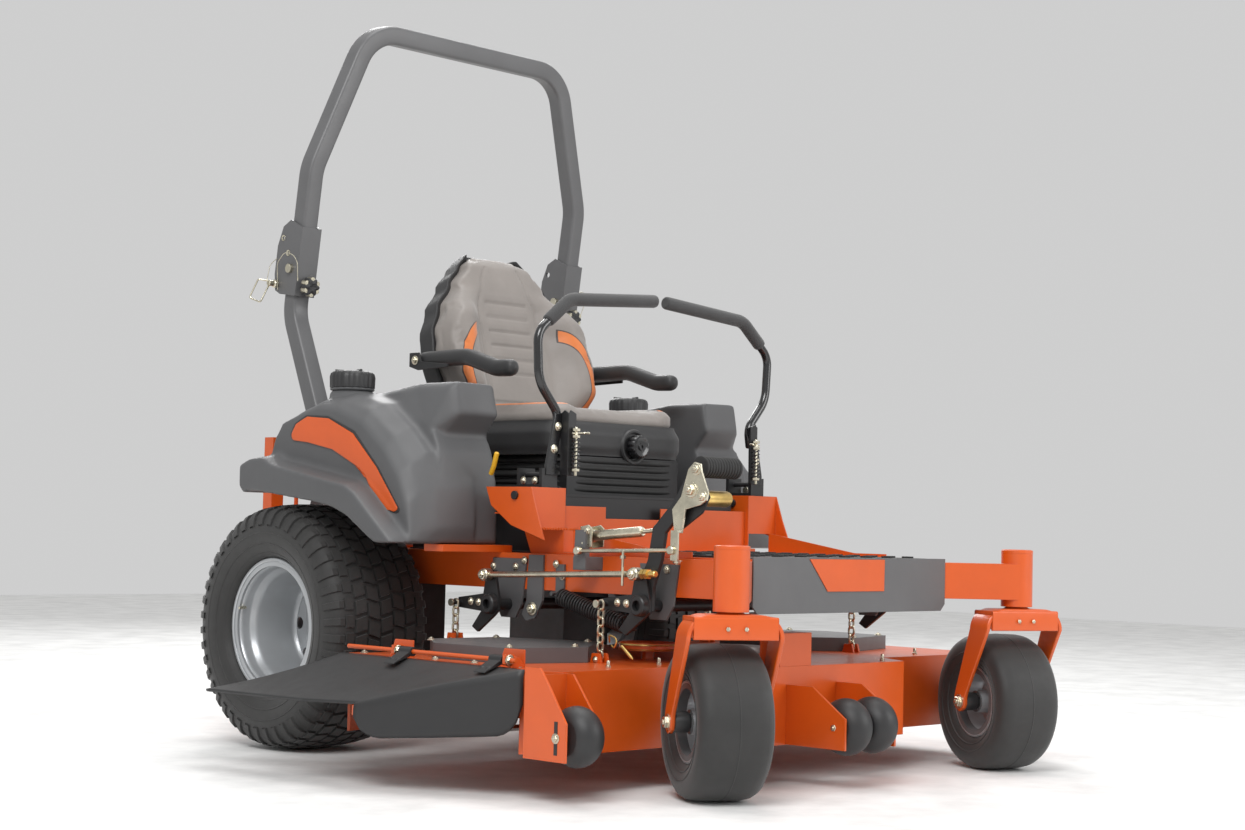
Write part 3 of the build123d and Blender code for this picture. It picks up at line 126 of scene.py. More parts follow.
# ==== materials =============================================================================


def node(tree, kind, **values):
    """A shader node. Each value sets a property or an input, or links a socket to an input."""
    made = tree.nodes.new(kind)
    for key, value in values.items():
        if hasattr(made, key):
            setattr(made, key, value)
        elif isinstance(value, bpy.types.NodeSocket):
            tree.links.new(value, made.inputs[key])
        else:
            made.inputs[key].default_value = value
    return made


def overlaid(tree, factor, base, colour):
    """Socket of a base colour with another laid over it by a factor."""
    mix = node(tree, "ShaderNodeMix", data_type="RGBA")
    tree.links.new(factor, mix.inputs[0])
    tree.links.new(base, mix.inputs[6])
    mix.inputs[7].default_value = (*colour, 1)
    return mix.outputs[2]


ROUGH_SWING = 0.1


def surface(name, colour, rough, metal=0.0, tint=0.12, tint_scale=6.0, grain=600.0, bump=0.08, depth=0.0006,
            cells=False, coat=0.0, soften=0.0, dust=0.06, sheen=0.0):
    """Procedural finish: mottled colour, uneven gloss, fine surface relief, light dust on upper faces."""
    made = bpy.data.materials.new(name)
    made.use_nodes = True
    tree = made.node_tree
    shader = tree.nodes["Principled BSDF"]
    links = tree.links
    where = node(tree, "ShaderNodeTexCoord").outputs["Object"]
    cloud = node(tree, "ShaderNodeTexNoise", Scale=tint_scale, Detail=6.0, Roughness=0.6, Vector=where)
    ramp = node(tree, "ShaderNodeValToRGB", Fac=cloud.outputs["Fac"])
    low, high = ramp.color_ramp.elements
    low.position, high.position = 0.3, 0.7
    low.color = (*[c * (1 - tint) for c in colour], 1)
    high.color = (*[min(1, c * (1 + tint)) for c in colour], 1)
    split = node(tree, "ShaderNodeSeparateXYZ", Vector=node(tree, "ShaderNodeNewGeometry").outputs["Normal"])
    upness = node(tree, "ShaderNodeMapRange", Value=split.outputs["Z"], **{"From Min": 0.5, "To Max": dust})
    links.new(overlaid(tree, upness.outputs[0], ramp.outputs["Color"], (0.32, 0.3, 0.28)),
              shader.inputs["Base Color"])
    patches = node(tree, "ShaderNodeTexNoise", Scale=tint_scale * 5, Detail=4.0, Vector=where)
    gloss = node(tree, "ShaderNodeMapRange", Value=patches.outputs["Fac"],
                 **{"To Min": max(0.03, rough - ROUGH_SWING), "To Max": min(1, rough + ROUGH_SWING)})
    links.new(gloss.outputs[0], shader.inputs["Roughness"])
    if cells:
        fine = node(tree, "ShaderNodeTexVoronoi", feature="SMOOTH_F1", Scale=grain, Vector=where)
        height = fine.outputs["Distance"]
    else:
        fine = node(tree, "ShaderNodeTexNoise", Scale=grain, Detail=3.0, Vector=where)
        height = fine.outputs["Fac"]
    relief = node(tree, "ShaderNodeBump", Strength=bump, Distance=depth, Height=height)
    if soften:
        round_edge = node(tree, "ShaderNodeBevel", samples=4, Radius=soften)
        links.new(round_edge.outputs[0], relief.inputs["Normal"])
    links.new(relief.outputs[0], shader.inputs["Normal"])
    for name, value in (("Metallic", metal), ("Coat Weight", coat), ("Coat Roughness", 0.25),
                        ("Sheen Weight", sheen), ("Specular IOR Level", 0.5)):
        shader.inputs[name].default_value = value
    return made


ORANGE = (0.62, 0.088, 0.005)
finishes = {
    "orange_paint": surface("orange powder coat", ORANGE, 0.36, tint=0.07, grain=900, bump=0.12, coat=0.35,
                            soften=0.0025, dust=0.02),
    "grey_paint": surface("grey powder coat", (0.105, 0.105, 0.108), 0.42, tint=0.08, grain=1100, bump=0.16,
                          coat=0.15, soften=0.0025),
    "black_paint": surface("black powder coat", (0.016, 0.016, 0.017), 0.4, grain=1000, bump=0.14,
                           soften=0.0022),
    "rim_paint": surface("silver wheel paint", (0.46, 0.475, 0.49), 0.33, metal=0.55, tint=0.05, grain=1400,
                         bump=0.06, soften=0.002),
    "zinc": surface("yellow zinc plating", (0.62, 0.58, 0.46), 0.3, metal=1.0, tint=0.2, tint_scale=30,
                    grain=800, bump=0.08, dust=0.0, soften=0.001),
    "cast": surface("dark casting", (0.045, 0.045, 0.047), 0.58, tint=0.25, tint_scale=14, grain=420,
                    bump=0.5, depth=0.0012, soften=0.004),
    "engine_alloy": surface("cast alloy", (0.36, 0.36, 0.365), 0.48, metal=0.85, tint=0.15, grain=500,
                            bump=0.35, depth=0.001, soften=0.003),
    "black_plastic": surface("black moulded plastic", (0.021, 0.021, 0.022), 0.47, tint=0.1, grain=1300,
                             bump=0.22, cells=True, soften=0.003),
    "gloss_black": surface("gloss black", (0.008, 0.008, 0.009), 0.16, tint=0.1, grain=300, bump=0.03,
                           coat=0.6),
    "tyre": surface("tyre rubber", (0.022, 0.0215, 0.021), 0.62, tint=0.18, tint_scale=9, grain=700,
                    bump=0.3, depth=0.0008, dust=0.04, sheen=0.15),
    "mat_rubber": surface("mat rubber", (0.018, 0.018, 0.018), 0.7, grain=900, bump=0.4, soften=0.002),
    "foam": surface("grip foam", (0.042, 0.042, 0.043), 0.82, tint=0.1, grain=1600, bump=0.5, cells=True,
                    sheen=0.25),
    "tank": surface("rotomoulded grey plastic", (0.088, 0.089, 0.092), 0.5, tint=0.06, tint_scale=4,
                    grain=1500,
                    bump=0.25, cells=True, dust=0.03),
    "steel": surface("worn steel", (0.3, 0.29, 0.28), 0.42, metal=1.0, tint=0.3, tint_scale=20, grain=600,
                     bump=0.3, soften=0.001),
    "vinyl_black": surface("black grained vinyl", (0.02, 0.02, 0.021), 0.5, tint=0.1, grain=420, bump=0.3,
                           depth=0.0005, cells=True, sheen=0.1),
    "brass": surface("gold zinc plating", (0.72, 0.5, 0.17), 0.32, metal=1.0, tint=0.2, tint_scale=30,
                     dust=0.0),
    "yellow": surface("yellow plastic", (0.75, 0.42, 0.02), 0.4, tint=0.05),
}

# ==== mesh helpers (machine-frame millimetres until the object is made) =====================


def bevelled(piece, width, segments, angle):
    edge = piece.modifiers.new("bevel", "BEVEL")
    edge.width = width / 1000
    edge.segments = segments
    edge.limit_method = "ANGLE"
    edge.angle_limit = math.radians(angle)


def thickened(piece, thickness, offset):
    thick = piece.modifiers.new("thick", "SOLIDIFY")
    thick.thickness = thickness / 1000
    thick.offset = offset


class Shape:
    """Corners and faces gathered before they become one object."""

    def __init__(self):
        self.points = []
        self.faces = []

    def add(self, points, faces):
        start = len(self.points)
        self.points += [V(p) for p in points]
        self.faces += [tuple(start + i for i in face) for face in faces]
        return self

    def grid(self, rows, close_rows=False, close_columns=False):
        """Skin over rows of equally many points."""
        count, across = len(rows), len(rows[0])
        faces = []
        for r in range(count if close_rows else count - 1):
            for c in range(across if close_columns else across - 1):
                s, d = (r + 1) % count, (c + 1) % across
                faces.append((r * across + c, r * across + d, s * across + d, s * across + c))
        return self.add([p for row in rows for p in row], faces)

    def mesh(self, name):
        made = bpy.data.meshes.new(name)
        made.from_pydata([ORIGIN + p / 1000 for p in self.points], [], self.faces)
        return made

    def make(self, name, finish, body, slot=None, replaces=(), bevel=0.0, subdivide=0, sharp=35.0,
             flip=False):
        """Turns the shape into an object that rides on a body."""
        mesh = self.mesh(name)
        work = bmesh.new()
        work.from_mesh(mesh)
        bmesh.ops.remove_doubles(work, verts=work.verts, dist=1e-6)
        bmesh.ops.recalc_face_normals(work, faces=work.faces)
        work.to_mesh(mesh)
        work.free()
        piece = linked(name, mesh)
        mesh.materials.append(finishes[finish])
        mesh.shade_smooth()
        mesh.set_sharp_from_angle(angle=math.radians(sharp))
        if bevel:
            bevelled(piece, bevel, 3, 40)
        if subdivide:
            finer = piece.modifiers.new("subdivide", "SUBSURF")
            finer.levels = finer.render_levels = subdivide
        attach(piece, body)
        for replaced in ([replaces] if isinstance(replaces, str) else replaces):
            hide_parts(replaced)
        return piece


def side_axes(direction):
    """Two unit vectors square to a direction."""
    way = V(direction).normalized()
    hint = V((0, 0, 1)) if abs(way.z) < 0.9 else V((0, 1, 0))
    u = hint.cross(way).normalized()
    return u, way.cross(u)


def lathe(shape, profile, centre, way, steps=48, closed=True):
    """Turns (along, radius) corners about an axle; closed joins the last corner to the first."""
    way = V(way).normalized()
    u, v = side_axes(way)
    rows = []
    for i in range(steps):
        a = 2 * math.pi * i / steps
        out = u * math.cos(a) + v * math.sin(a)
        rows.append([V(centre) + way * along + out * radius for along, radius in profile])
    shape.grid(rows, close_rows=True, close_columns=closed)
    return shape


def disc_stack(shape, centre, way, stack, steps=24):
    """Solid turned piece from (along, radius) corners, closed on the axle."""
    lathe(shape, [(stack[0][0], 0.01), *stack, (stack[-1][0], 0.01)], centre, way, steps, closed=False)
    return shape


def bolt(shape, place, way, size=8, washer=True):
    """Hexagon head with a rounded top on a washer, standing on a surface."""
    if washer:
        disc_stack(shape, place, way, [(0, size * 1.35), (1.6, size * 1.35), (2, size * 1.25)], 20)
    disc_stack(shape, place, way, [(1.5, size), (size * 0.62, size), (size * 0.75, size * 0.86)], 6)
    disc_stack(shape, place, way, [(size * 0.5, size * 0.45), (size * 0.95, size * 0.42),
                                   (size * 1.05, size * 0.3)], 12)
    return shape


def rounded_path(points, radii, steps=7):
    """Polyline whose inner corners become arcs."""
    points = [V(p) for p in points]
    radii = [radii] * (len(points) - 2) if isinstance(radii, (int, float)) else radii
    path = [points[0]]
    for before, corner, after, radius in zip(points, points[1:], points[2:], radii):
        a, b = (before - corner).normalized(), (after - corner).normalized()
        half = a.angle(b) / 2
        reach = min(radius / math.tan(half), 0.49 * (before - corner).length, 0.49 * (after - corner).length)
        radius = reach * math.tan(half)
        centre = corner + (a + b).normalized() * (radius / math.sin(half))
        start, end = corner + a * reach - centre, corner + b * reach - centre
        path += [centre + start.slerp(end, i / steps).normalized() * radius for i in range(steps + 1)]
    return path + [points[-1]]


def sweep(shape, path, section, first_side, closed=False, caps=True, scales=None):
    """Runs a section of (side, other) corners along a path without twisting it."""
    path = [V(p) for p in path]
    count = len(path)
    side = V(first_side)
    rows = []
    for i, point in enumerate(path):
        before = path[i - 1] if i or closed else point
        after = path[(i + 1) % count] if i < count - 1 or closed else point
        way = (after - before).normalized()
        side = (side - way * side.dot(way)).normalized()
        other = way.cross(side)
        k = scales[i] if scales else 1
        rows.append([point + (side * a + other * b) * k for a, b in section])
    shape.grid(rows, close_rows=closed, close_columns=True)
    if caps and not closed:
        start = len(shape.points) - count * len(section)
        last = len(shape.points) - len(section)
        shape.faces.append(tuple(start + i for i in range(len(section))))
        shape.faces.append(tuple(last + i for i in reversed(range(len(section)))))
    return shape


def circle(radius, steps=14):
    return [(radius * math.cos(2 * math.pi * i / steps), radius * math.sin(2 * math.pi * i / steps))
            for i in range(steps)]


def rounded_box(width, height, radius, steps=4):
    """Section of a rounded rectangle."""
    corners = []
    for sx, sy, turn in ((1, 1, 0), (-1, 1, 90), (-1, -1, 180), (1, -1, 270)):
        for i in range(steps + 1):
            a = math.radians(turn + 90 * i / steps)
            corners.append((sx * (width / 2 - radius) + radius * math.cos(a),
                            sy * (height / 2 - radius) + radius * math.sin(a)))
    return corners


def tube(shape, path, radius, steps=14, round_ends=True):
    """Round bar along a path, with domed ends."""
    path = [V(p) for p in path]
    scales = [1.0] * len(path)
    if round_ends:
        head, tail = (path[0] - path[1]).normalized(), (path[-1] - path[-2]).normalized()
        bend = radius * 0.45
        path = ([path[0], path[0] - head * bend * 0.35, path[0] - head * bend] + path[1:-1]
                + [path[-1] - tail * bend, path[-1] - tail * bend * 0.35, path[-1]])
        scales = [0.72, 0.92, 1.0] + [1.0] * (len(path) - 6) + [1.0, 0.92, 0.72]
    way = (path[1] - path[0]).normalized()
    sweep(shape, path, circle(radius, steps), side_axes(way)[0], scales=scales)
    return shape


def coil(shape, start, end, radius, wire, turns, steps=14, sides=7):
    """Helical spring between two points."""
    start, end = V(start), V(end)
    u, v = side_axes(end - start)
    count = int(turns * steps)
    path = []
    for i in range(count + 1):
        a = 2 * math.pi * i / steps
        path.append(start.lerp(end, i / count) + (u * math.cos(a) + v * math.sin(a)) * radius)
    sweep(shape, path, circle(wire, sides), u)
    return shape


def prism(shape, outline, thickness, plane):
    """Plate from 2-D corners; plane maps (a, b, depth) to a point."""
    count = len(outline)
    near = [plane(a, b, 0) for a, b in outline]
    far = [plane(a, b, thickness) for a, b in outline]
    sides = [(i, (i + 1) % count, count + (i + 1) % count, count + i) for i in range(count)]
    shape.add(near + far, [tuple(range(count)), tuple(reversed(range(count, 2 * count))), *sides])
    return shape


def cuboid(shape, x0, x1, y0, y1, z0, z1):
    prism(shape, [(x0, y0), (x1, y0), (x1, y1), (x0, y1)], z1 - z0, lambda a, b, d: V((a, b, z0 + d)))
    return shape


def across_x(x0):
    return lambda a, b, d: V((x0 + d, a, b))


def across_y(y0):
    return lambda a, b, d: V((a, y0 + d, b))


def taken(piece):
    """Applies an object's modifiers to its mesh."""
    applied = bpy.data.meshes.new_from_object(piece.evaluated_get(bpy.context.evaluated_depsgraph_get()))
    piece.modifiers.clear()
    piece.data = applied


def remeshed(piece, voxel, smooth_steps=0, factor=0.5):
    """One even skin over overlapping closed solids, with its edges rounded."""
    skin = piece.modifiers.new("skin", "REMESH")
    skin.mode = "VOXEL"
    skin.voxel_size = voxel
    skin.use_smooth_shade = True
    if smooth_steps:
        soft = piece.modifiers.new("soft", "SMOOTH")
        soft.factor = factor
        soft.iterations = smooth_steps
    taken(piece)


def refinished(piece, finish):
    """Gives a remeshed piece its finish and its smooth shading again."""
    piece.data.materials.clear()
    piece.data.materials.append(finishes[finish])
    piece.data.shade_smooth()


def finer(path, spacing):
    """The same polyline with points no further apart than about the spacing."""
    points = []
    for a, b in zip(path, path[1:]):
        parts = max(1, int((b - a).length / spacing))
        points += [a.lerp(b, i / parts) for i in range(parts)]
    return points + [path[-1]]


def quilt(shape, front, rear):
    """Closed pad between two grids of points."""
    for rows in (front, rear, [front[0], rear[0]], [front[-1], rear[-1]]):
        shape.grid(rows)
    for c in (0, -1):
        shape.grid([[row[c] for row in front], [row[c] for row in rear]])


def fluted(shape, stack, centre, axes, ribs, power, steps):
    """Turned knob with ribs from (along, radius, rib depth) corners; axes are two side ways and the axle."""
    u, v, way = (V(axis) for axis in axes)
    rows = []
    for along, radius, depth in stack:
        row = []
        for i in range(steps):
            a = 2 * math.pi * i / steps
            reach = radius - depth * (0.5 + 0.5 * math.cos(ribs * a)) ** power
            row.append(V(centre) + way * along + (u * math.cos(a) + v * math.sin(a)) * reach)
        rows.append(row)
    shape.grid(rows, close_columns=True)


def inflated(piece, pressure=4.0, cap=0.010):
    """Swells a padded piece as sewn cloth, then keeps the result."""
    rest = [v.co.copy() for v in piece.data.vertices]
    cloth = piece.modifiers.new("cloth", "CLOTH")
    cloth.settings.use_pressure = True
    cloth.settings.uniform_pressure_force = pressure
    cloth.settings.effector_weights.gravity = 0
    for step in range(1, 21):
        scene.frame_set(step)
    taken(piece)
    for vertex, start in zip(piece.data.vertices, rest):
        move = vertex.co - start
        if move.length > cap:
            vertex.co = start + move * (cap / move.length)
    scene.frame_set(1)


# ==== carried-over CAD nodes ================================================================

NODE_FINISH = {s["node"]: s["material_slot"] for s in frame["record"]["subparts"]}
NODE_FINISH.update({"rops_saddles": "grey_paint", "lever_carrier_right": "black_paint",
                    "lever_carrier_left": "black_paint", "blade_right": "steel", "blade_centre": "steel",
                    "blade_left": "steel"})
for name, cad_piece in frame["nodes"].items():
    cad_piece.data.materials.clear()
    cad_piece.data.materials.append(finishes.get(NODE_FINISH[name], finishes["vinyl_black"]))

# ==== wheels ================================================================================


def tread_radius(u):
    return 297.5 - 12 * (abs(u) / 140) ** 2.6


def lug(shape, centre, way, u0, u1, a0, a1, skew, height):
    """One tread block on the crown, its top a little smaller than its foot."""
    side_u, side_v = side_axes(way)

    def at(u, a, radius):
        turn = a + skew * u
        return V(centre) + V(way) * u + (side_u * math.cos(turn) + side_v * math.sin(turn)) * radius

    inset = 0.0045
    foot = [at(u, a, tread_radius(u) - 2) for u, a in ((u0, a0), (u1, a0), (u1, a1), (u0, a1))]
    top = [at(u, a, tread_radius(u) + height)
           for u, a in ((u0 + 1.6, a0 + inset), (u1 - 1.6, a0 + inset), (u1 - 1.6, a1 - inset),
                        (u0 + 1.6, a1 - inset))]
    shape.add(foot + top, [(4, 5, 6, 7), (0, 1, 5, 4), (1, 2, 6, 5), (2, 3, 7, 6), (3, 0, 4, 7)])


def rear_wheel(label, side):
    centre, way = V((side * REAR_X, 0, REAR_RADIUS)), V((side, 0, 0))
    shape = Shape()
    half = [(117, 171), (124, 173), (133, 178), (143, 192), (149.5, 212), (151, 230), (150, 246), (146, 262),
            (139, 276), (128, 286), (112, 292), (80, 295.5), (40, 297), (0, 297.5)]
    profile = half + [(-u, r) for u, r in reversed(half[:-1])]
    lathe(shape, profile, centre, way, 96)
    rings = [(135.5, 183, 1.8), (147.5, 205, 1.4), (151, 232, 1.2)]
    for sign in (1, -1):
        for u, r, fat in rings:
            lathe(shape, [(sign * (u - 1), r - 2.4), (sign * (u + fat), r), (sign * (u - 1), r + 2.4)],
                  centre, way, 96)
    count = 44
    pitch = 2 * math.pi / count
    rows = [(-17, 17), (21, 55), (59, 92), (-55, -21), (-92, -59)]
    for number, (u0, u1) in enumerate(rows):
        shift = pitch * (0.5 if number in (1, 2, 3) else 0.0)
        for i in range(count):
            a = i * pitch + shift
            lug(shape, centre, way, u0, u1, a, a + pitch * 0.8, 0.0009 if number % 2 else -0.0009, 7.2)
    for sign in (1, -1):
        for i in range(count):
            a = i * pitch + pitch * 0.25
            lug(shape, centre, way, *sorted((sign * 96, sign * 119)), a, a + pitch * 0.72, 0.0, 6)
            side_u, side_v = side_axes(way)
            arc = [(sign * u, r) for u, r in ((119, 291), (131, 288), (142, 277), (148.5, 263), (151.5, 250))]
            a0, a1 = a + pitch * 0.1, a + pitch * 0.58
            shoulder = []
            for angle, lift in ((a0, -3), (a0 + 0.006, 2.4), (a1 - 0.006, 2.4), (a1, -3)):
                out = side_u * math.cos(angle) + side_v * math.sin(angle)
                shoulder.append([centre + way * (u + sign * lift * 0.55) + out * (r + lift * 0.8)
                                 for u, r in arc])
            shape.grid(shoulder)
    shape.make("rear_tyre_tread_" + label, "tyre", "rear_wheel_" + label, replaces="rear_tyre_" + label,
               sharp=28)
    metal = Shape()
    for sign in (1, -1):
        lip = [(114, 157), (113, 164), (115.5, 169), (120, 170.5), (124, 168), (125, 163), (122.5, 160),
               (118, 162), (117, 157)]
        lathe(metal, [(sign * u, r) for u, r in lip], centre, way, 80)
    barrel = [(119, 160), (112, 152), (104, 148.7), (88, 148.2), (82, 146), (74, 139), (66, 136), (8, 133),
              (-30, 131), (-40, 128), (-46, 120), (-46, 118), (-42, 118), (-36, 124), (-28, 127), (8, 129),
              (68, 132), (77, 136), (85, 142), (90, 144.5), (104, 145), (113, 148), (121, 157)]
    lathe(metal, barrel, centre, way, 80)
    hub_x = -44
    disc_stack(metal, centre, way, [(hub_x, 74), (hub_x + 6, 72), (hub_x + 8, 66), (hub_x + 9, 40),
                                    (hub_x + 24, 36),
                                    (hub_x + 27, 32)], 40)
    metal.make("rear_rim_dish_" + label, "rim_paint", "rear_wheel_" + label)
    fast = Shape()
    for i in range(5):
        a = math.radians(36 + 72 * i)
        bolt(fast, centre + way * (hub_x + 9) + V((0, 52 * math.cos(a), 52 * math.sin(a))), way, 10)
    tube(fast, [centre + way * 104 + V((0, 138, 40)), centre + way * 128 + V((0, 134, 39))], 3.4)
    fast.make("rear_wheel_nuts_" + label, "zinc", "rear_wheel_" + label)


for label, side in SIDES:
    rear_wheel(label, side)


def caster(label, side, steer):
    angle = math.radians(-steer)
    across, back = V((math.cos(angle), math.sin(angle), 0)), V((-math.sin(angle), math.cos(angle), 0))
    pivot = V((side * CASTER_X, -WHEELBASE, 0))
    centre = pivot + back * TRAIL + V((0, 0, CASTER_RADIUS))

    def at(u, v, z):
        return pivot + across * u + back * v + V((0, 0, z))

    rubber = Shape()
    half = [(62, 87), (67, 90), (74, 100), (79.5, 113), (82, 128), (80.5, 143), (74, 154), (63, 160.5),
            (48, 163.2), (26, 164.2), (1.6, 164.3), (0.7, 165)]
    lathe(rubber, half + [(-u, r) for u, r in reversed(half)], centre, across, 96)
    for sign in (1, -1):
        for u, r in ((76, 103), (81, 121)):
            lathe(rubber, [(sign * (u - 1), r - 2), (sign * (u + 1.6), r), (sign * (u - 1), r + 2)], centre,
                  across, 96)
    rubber.make("caster_tyre_smooth_" + label, "tyre", "caster_wheel_" + label,
                replaces="caster_tyre_" + label)
    dish = Shape()
    for sign in (1, -1):
        lathe(dish, [(sign * u, r) for u, r in
                     ((60, 78), (59, 84), (62, 87.5), (66, 86.5), (66.5, 82), (63, 78), (56, 72.5), (40, 69),
                      (20, 67),
                      (8, 60), (6, 40), (6, 28), (2, 28), (2, 69), (40, 71.5), (56, 75))], centre, across, 64)
        disc_stack(dish, centre, across, [(sign * 4, 30), (sign * 50, 27), (sign * 58, 26), (sign * 60, 22)],
                   32)
    dish.make("caster_rim_dish_" + label, "rim_paint", "caster_wheel_" + label)
    fork = Shape()
    crown_z = FORK_TOP - 5
    path = rounded_path([at(-102, 0, 141), at(-102, 0, crown_z), at(102, 0, crown_z), at(102, 0, 141)], 46,
                        10)
    dense = finer(path, 9)
    rows = []
    for i, point in enumerate(dense):
        way = (dense[min(i + 1, len(dense) - 1)] - dense[max(i - 1, 0)]).normalized()
        out = way.cross(back)
        z = point.z
        drop = min(1, max(0, (345 - z) / 165))
        middle = TRAIL * drop
        half_width = 39 - 15 * drop
        if z < CASTER_RADIUS:
            half_width = math.sqrt(max(0.2, 24 ** 2 - (CASTER_RADIUS - z) ** 2))
        base = point + back * middle
        ring = [(-half_width + 2, -5), (half_width - 2, -5), (half_width, -3), (half_width, 3),
                (half_width - 2, 5),
                (-half_width + 2, 5), (-half_width, 3), (-half_width, -3)]
        rows.append([base + back * a + out * b for a, b in ring])
    fork.grid(rows, close_columns=True)
    count = len(rows[0])
    fork.faces.append(tuple(range(count)))
    fork.faces.append(tuple(reversed(range((len(rows) - 1) * count, len(rows) * count))))
    for v in (-38, 38):
        sweep(fork, [at(-92, v, 366), at(92, v, 366)], rounded_box(7, 46, 2.5), back)
    sweep(fork, [at(-92, 0, 386), at(92, 0, 386)], rounded_box(80, 9, 3), back)
    disc_stack(fork, at(0, 0, 0), (0, 0, 1), [(390, 34), (FORK_TOP + 1, 31), (399, 26), (FORK_TOP + 4.6, 25)],
               32)
    fork.make("caster_fork_bent_" + label, "orange_paint", "caster_" + label, replaces="caster_fork_" + label,
              sharp=30)
    plain = Shape()
    disc_stack(plain, at(0, 0, 0), (0, 0, 1), [(396, 15), (525, 15)], 24)
    for sign in (-1, 1):
        bolt(plain, at(sign * 107, TRAIL, CASTER_RADIUS), across * sign, 13)
        bolt(plain, at(sign * 20, -44, 366), -back, 5, washer=False)
    plain.make("caster_bolts_" + label, "zinc", "caster_" + label)
    dark = Shape()
    for sign in (-1, 1):
        lathe(dark, [(sign * 60.4, 12), (sign * 60.4, 19), (sign * 64, 22), (sign * 92, 22),
                     (sign * 96.9, 19),
                     (sign * 96.9, 12)], centre, across, 28)
    dark.make("caster_spacers_" + label, "black_plastic", "caster_" + label)


caster("right", -1, 30)
caster("left", 1, 23)

# ==== roll bar ==============================================================================

TILT = math.radians(FORWARD_TILT)


def leaned(x, back, up):
    """Spot measured from the roll bar's fold pivot, back and up along the tilted posts."""
    return V((x, ROPS_Y + back * math.cos(TILT) - up * math.sin(TILT),
              PIVOT_Z + back * math.sin(TILT) + up * math.cos(TILT)))


SQUARE = rounded_box(49.6, 49.6, 9, 5)
hoop = Shape()
half_hoop = ((ROPS_X, -20), (ROPS_X, 270), (345, 656.5))
hoop_path = rounded_path([leaned(-x, 0, up) for x, up in half_hoop]
                         + [leaned(x, 0, up) for x, up in reversed(half_hoop)], [150, 120, 120, 150], 14)
sweep(hoop, hoop_path, SQUARE, (0, math.cos(TILT), math.sin(TILT)))
hoop.make("roll_bar_tube", "grey_paint", "rops_hoop", replaces="rops_hoop", sharp=40)
posts = Shape()
for side in (-1, 1):
    foot = rounded_path([(side * RAIL_X, 40, RAIL_TOP), (side * RAIL_X, 40, 668), (side * 456, 40, 668)], 55,
                        10)
    sweep(posts, foot, SQUARE, (0, 1, 0))
    post = rounded_path([(side * ROPS_X, 40, 643), (side * ROPS_X, 40, 700), (side * ROPS_X, 222, 1111),
                         leaned(side * ROPS_X, 0, -26)], [60, 120], 12)
    sweep(posts, post, SQUARE, (1, 0, 0))
    cuboid(posts, side * RAIL_X - 45, side * RAIL_X + 45, -5, 85, RAIL_TOP, RAIL_TOP + 8)
posts.make("roll_bar_posts", "grey_paint", "chassis", replaces="rops_uprights", sharp=40)
wires = Shape()
knobs = Shape()
detents = Shape()
for side in (-1, 1):
    loop = [leaned(side * 536, 53, -40), leaned(side * 560, 70, -38), leaned(side * 566, 92, -90),
            leaned(side * 566, 40, -98), leaned(side * 548, 44, -62), leaned(side * 536, 53, -50)]
    tube(wires, rounded_path(loop, 6), 2.2, 8)
    disc_stack(detents, leaned(side * 512, 53, -45), (side, 0, 0),
               [(0, 11), (9, 11), (12, 8), (26, 8), (28, 6)], 20)
    lanyard = [leaned(side * 516, 40, -60), leaned(side * 534, 30, 10), leaned(side * 540, -8, 44),
               leaned(side * 530, -50, 30), leaned(side * 516, -44, -30)]
    tube(wires, rounded_path(lanyard, 30, 9), 1.1, 6)
    tail = [leaned(side * 500, 60, 36), leaned(side * 525, 74, 4), leaned(side * 538, 62, -40)]
    tube(wires, rounded_path(tail, 30, 9), 1.1, 6)
    face = leaned(side * ROPS_X, -32, -42)
    out = leaned(0, -1, 0) - leaned(0, 0, 0)
    # six lobes that stand out, so their depth is negative
    fluted(knobs, [(along, 17.3 * share, -8.4 * share) for along, share in
                   ((10, 0.8), (13, 1.0), (26, 1.0), (31, 0.9), (33, 0.5), (31, 0.2), (31, 0.02))],
           face, (*side_axes(out), out), 6, 1, 60)
    disc_stack(knobs, face, out, [(0, 11), (12, 10)], 20)
    for back, up in ((46, 78), (18, 40)):
        lathe(detents, [(0, 4), (1.5, 8), (0, 8)], leaned(side * 511.5, back, up), (side, 0, 0), 20)
wires.make("roll_bar_bail_wires", "zinc", "chassis")
detents.make("roll_bar_detents", "zinc", "chassis")
knobs.make("roll_bar_knobs", "black_plastic", "chassis")

# ==== fuel tanks ============================================================================

INNER_LOW = [(-480, 835), (-438, 786), (-462, 742), (-484, 640), (-486, 521), (-423, 520), (-395, 534),
             (-315, 581),
             (-257, 602), (-170, 616), (-86, 625)]
LOFT = [
    (376, [(-48, 640), (-50, 832), (-160, 878), (-330, 902), (-456, 902), *INNER_LOW]),
    (384, [(-44, 640), (-46, 840), (-160, 886), (-330, 910), (-464, 910), *INNER_LOW]),
    (498, [(-44, 640), (-46, 846), (-160, 890), (-330, 912), (-466, 912), *INNER_LOW]),
    (514, [(-44, 640), (-46, 838), (-160, 880), (-330, 898), (-452, 898), (-466, 828), *INNER_LOW[1:]]),
    (548, [(-44, 640), (-46, 830), (-160, 860), (-300, 840), (-400, 810), (-420, 790), *INNER_LOW[1:]]),
]
ARCH = [(-423, 520), (-395, 534), (-315, 581), (-257, 602), (-170, 616), (-86, 625), (54, 640), (88, 642)]
LOW_FRONT = (-486, 521)


def tank_hull(shape, sections):
    """Skin over cross-sections given as (x, corners), capped at both ends."""
    rows = [[V((x, y, z)) for y, z in corners] for x, corners in sections]
    shape.grid(rows, close_columns=True)
    count = len(rows[0])
    start = len(shape.points) - count * len(rows)
    shape.faces.append(tuple(start + i for i in range(count)))
    shape.faces.append(tuple(start + count * (len(rows) - 1) + i for i in reversed(range(count))))


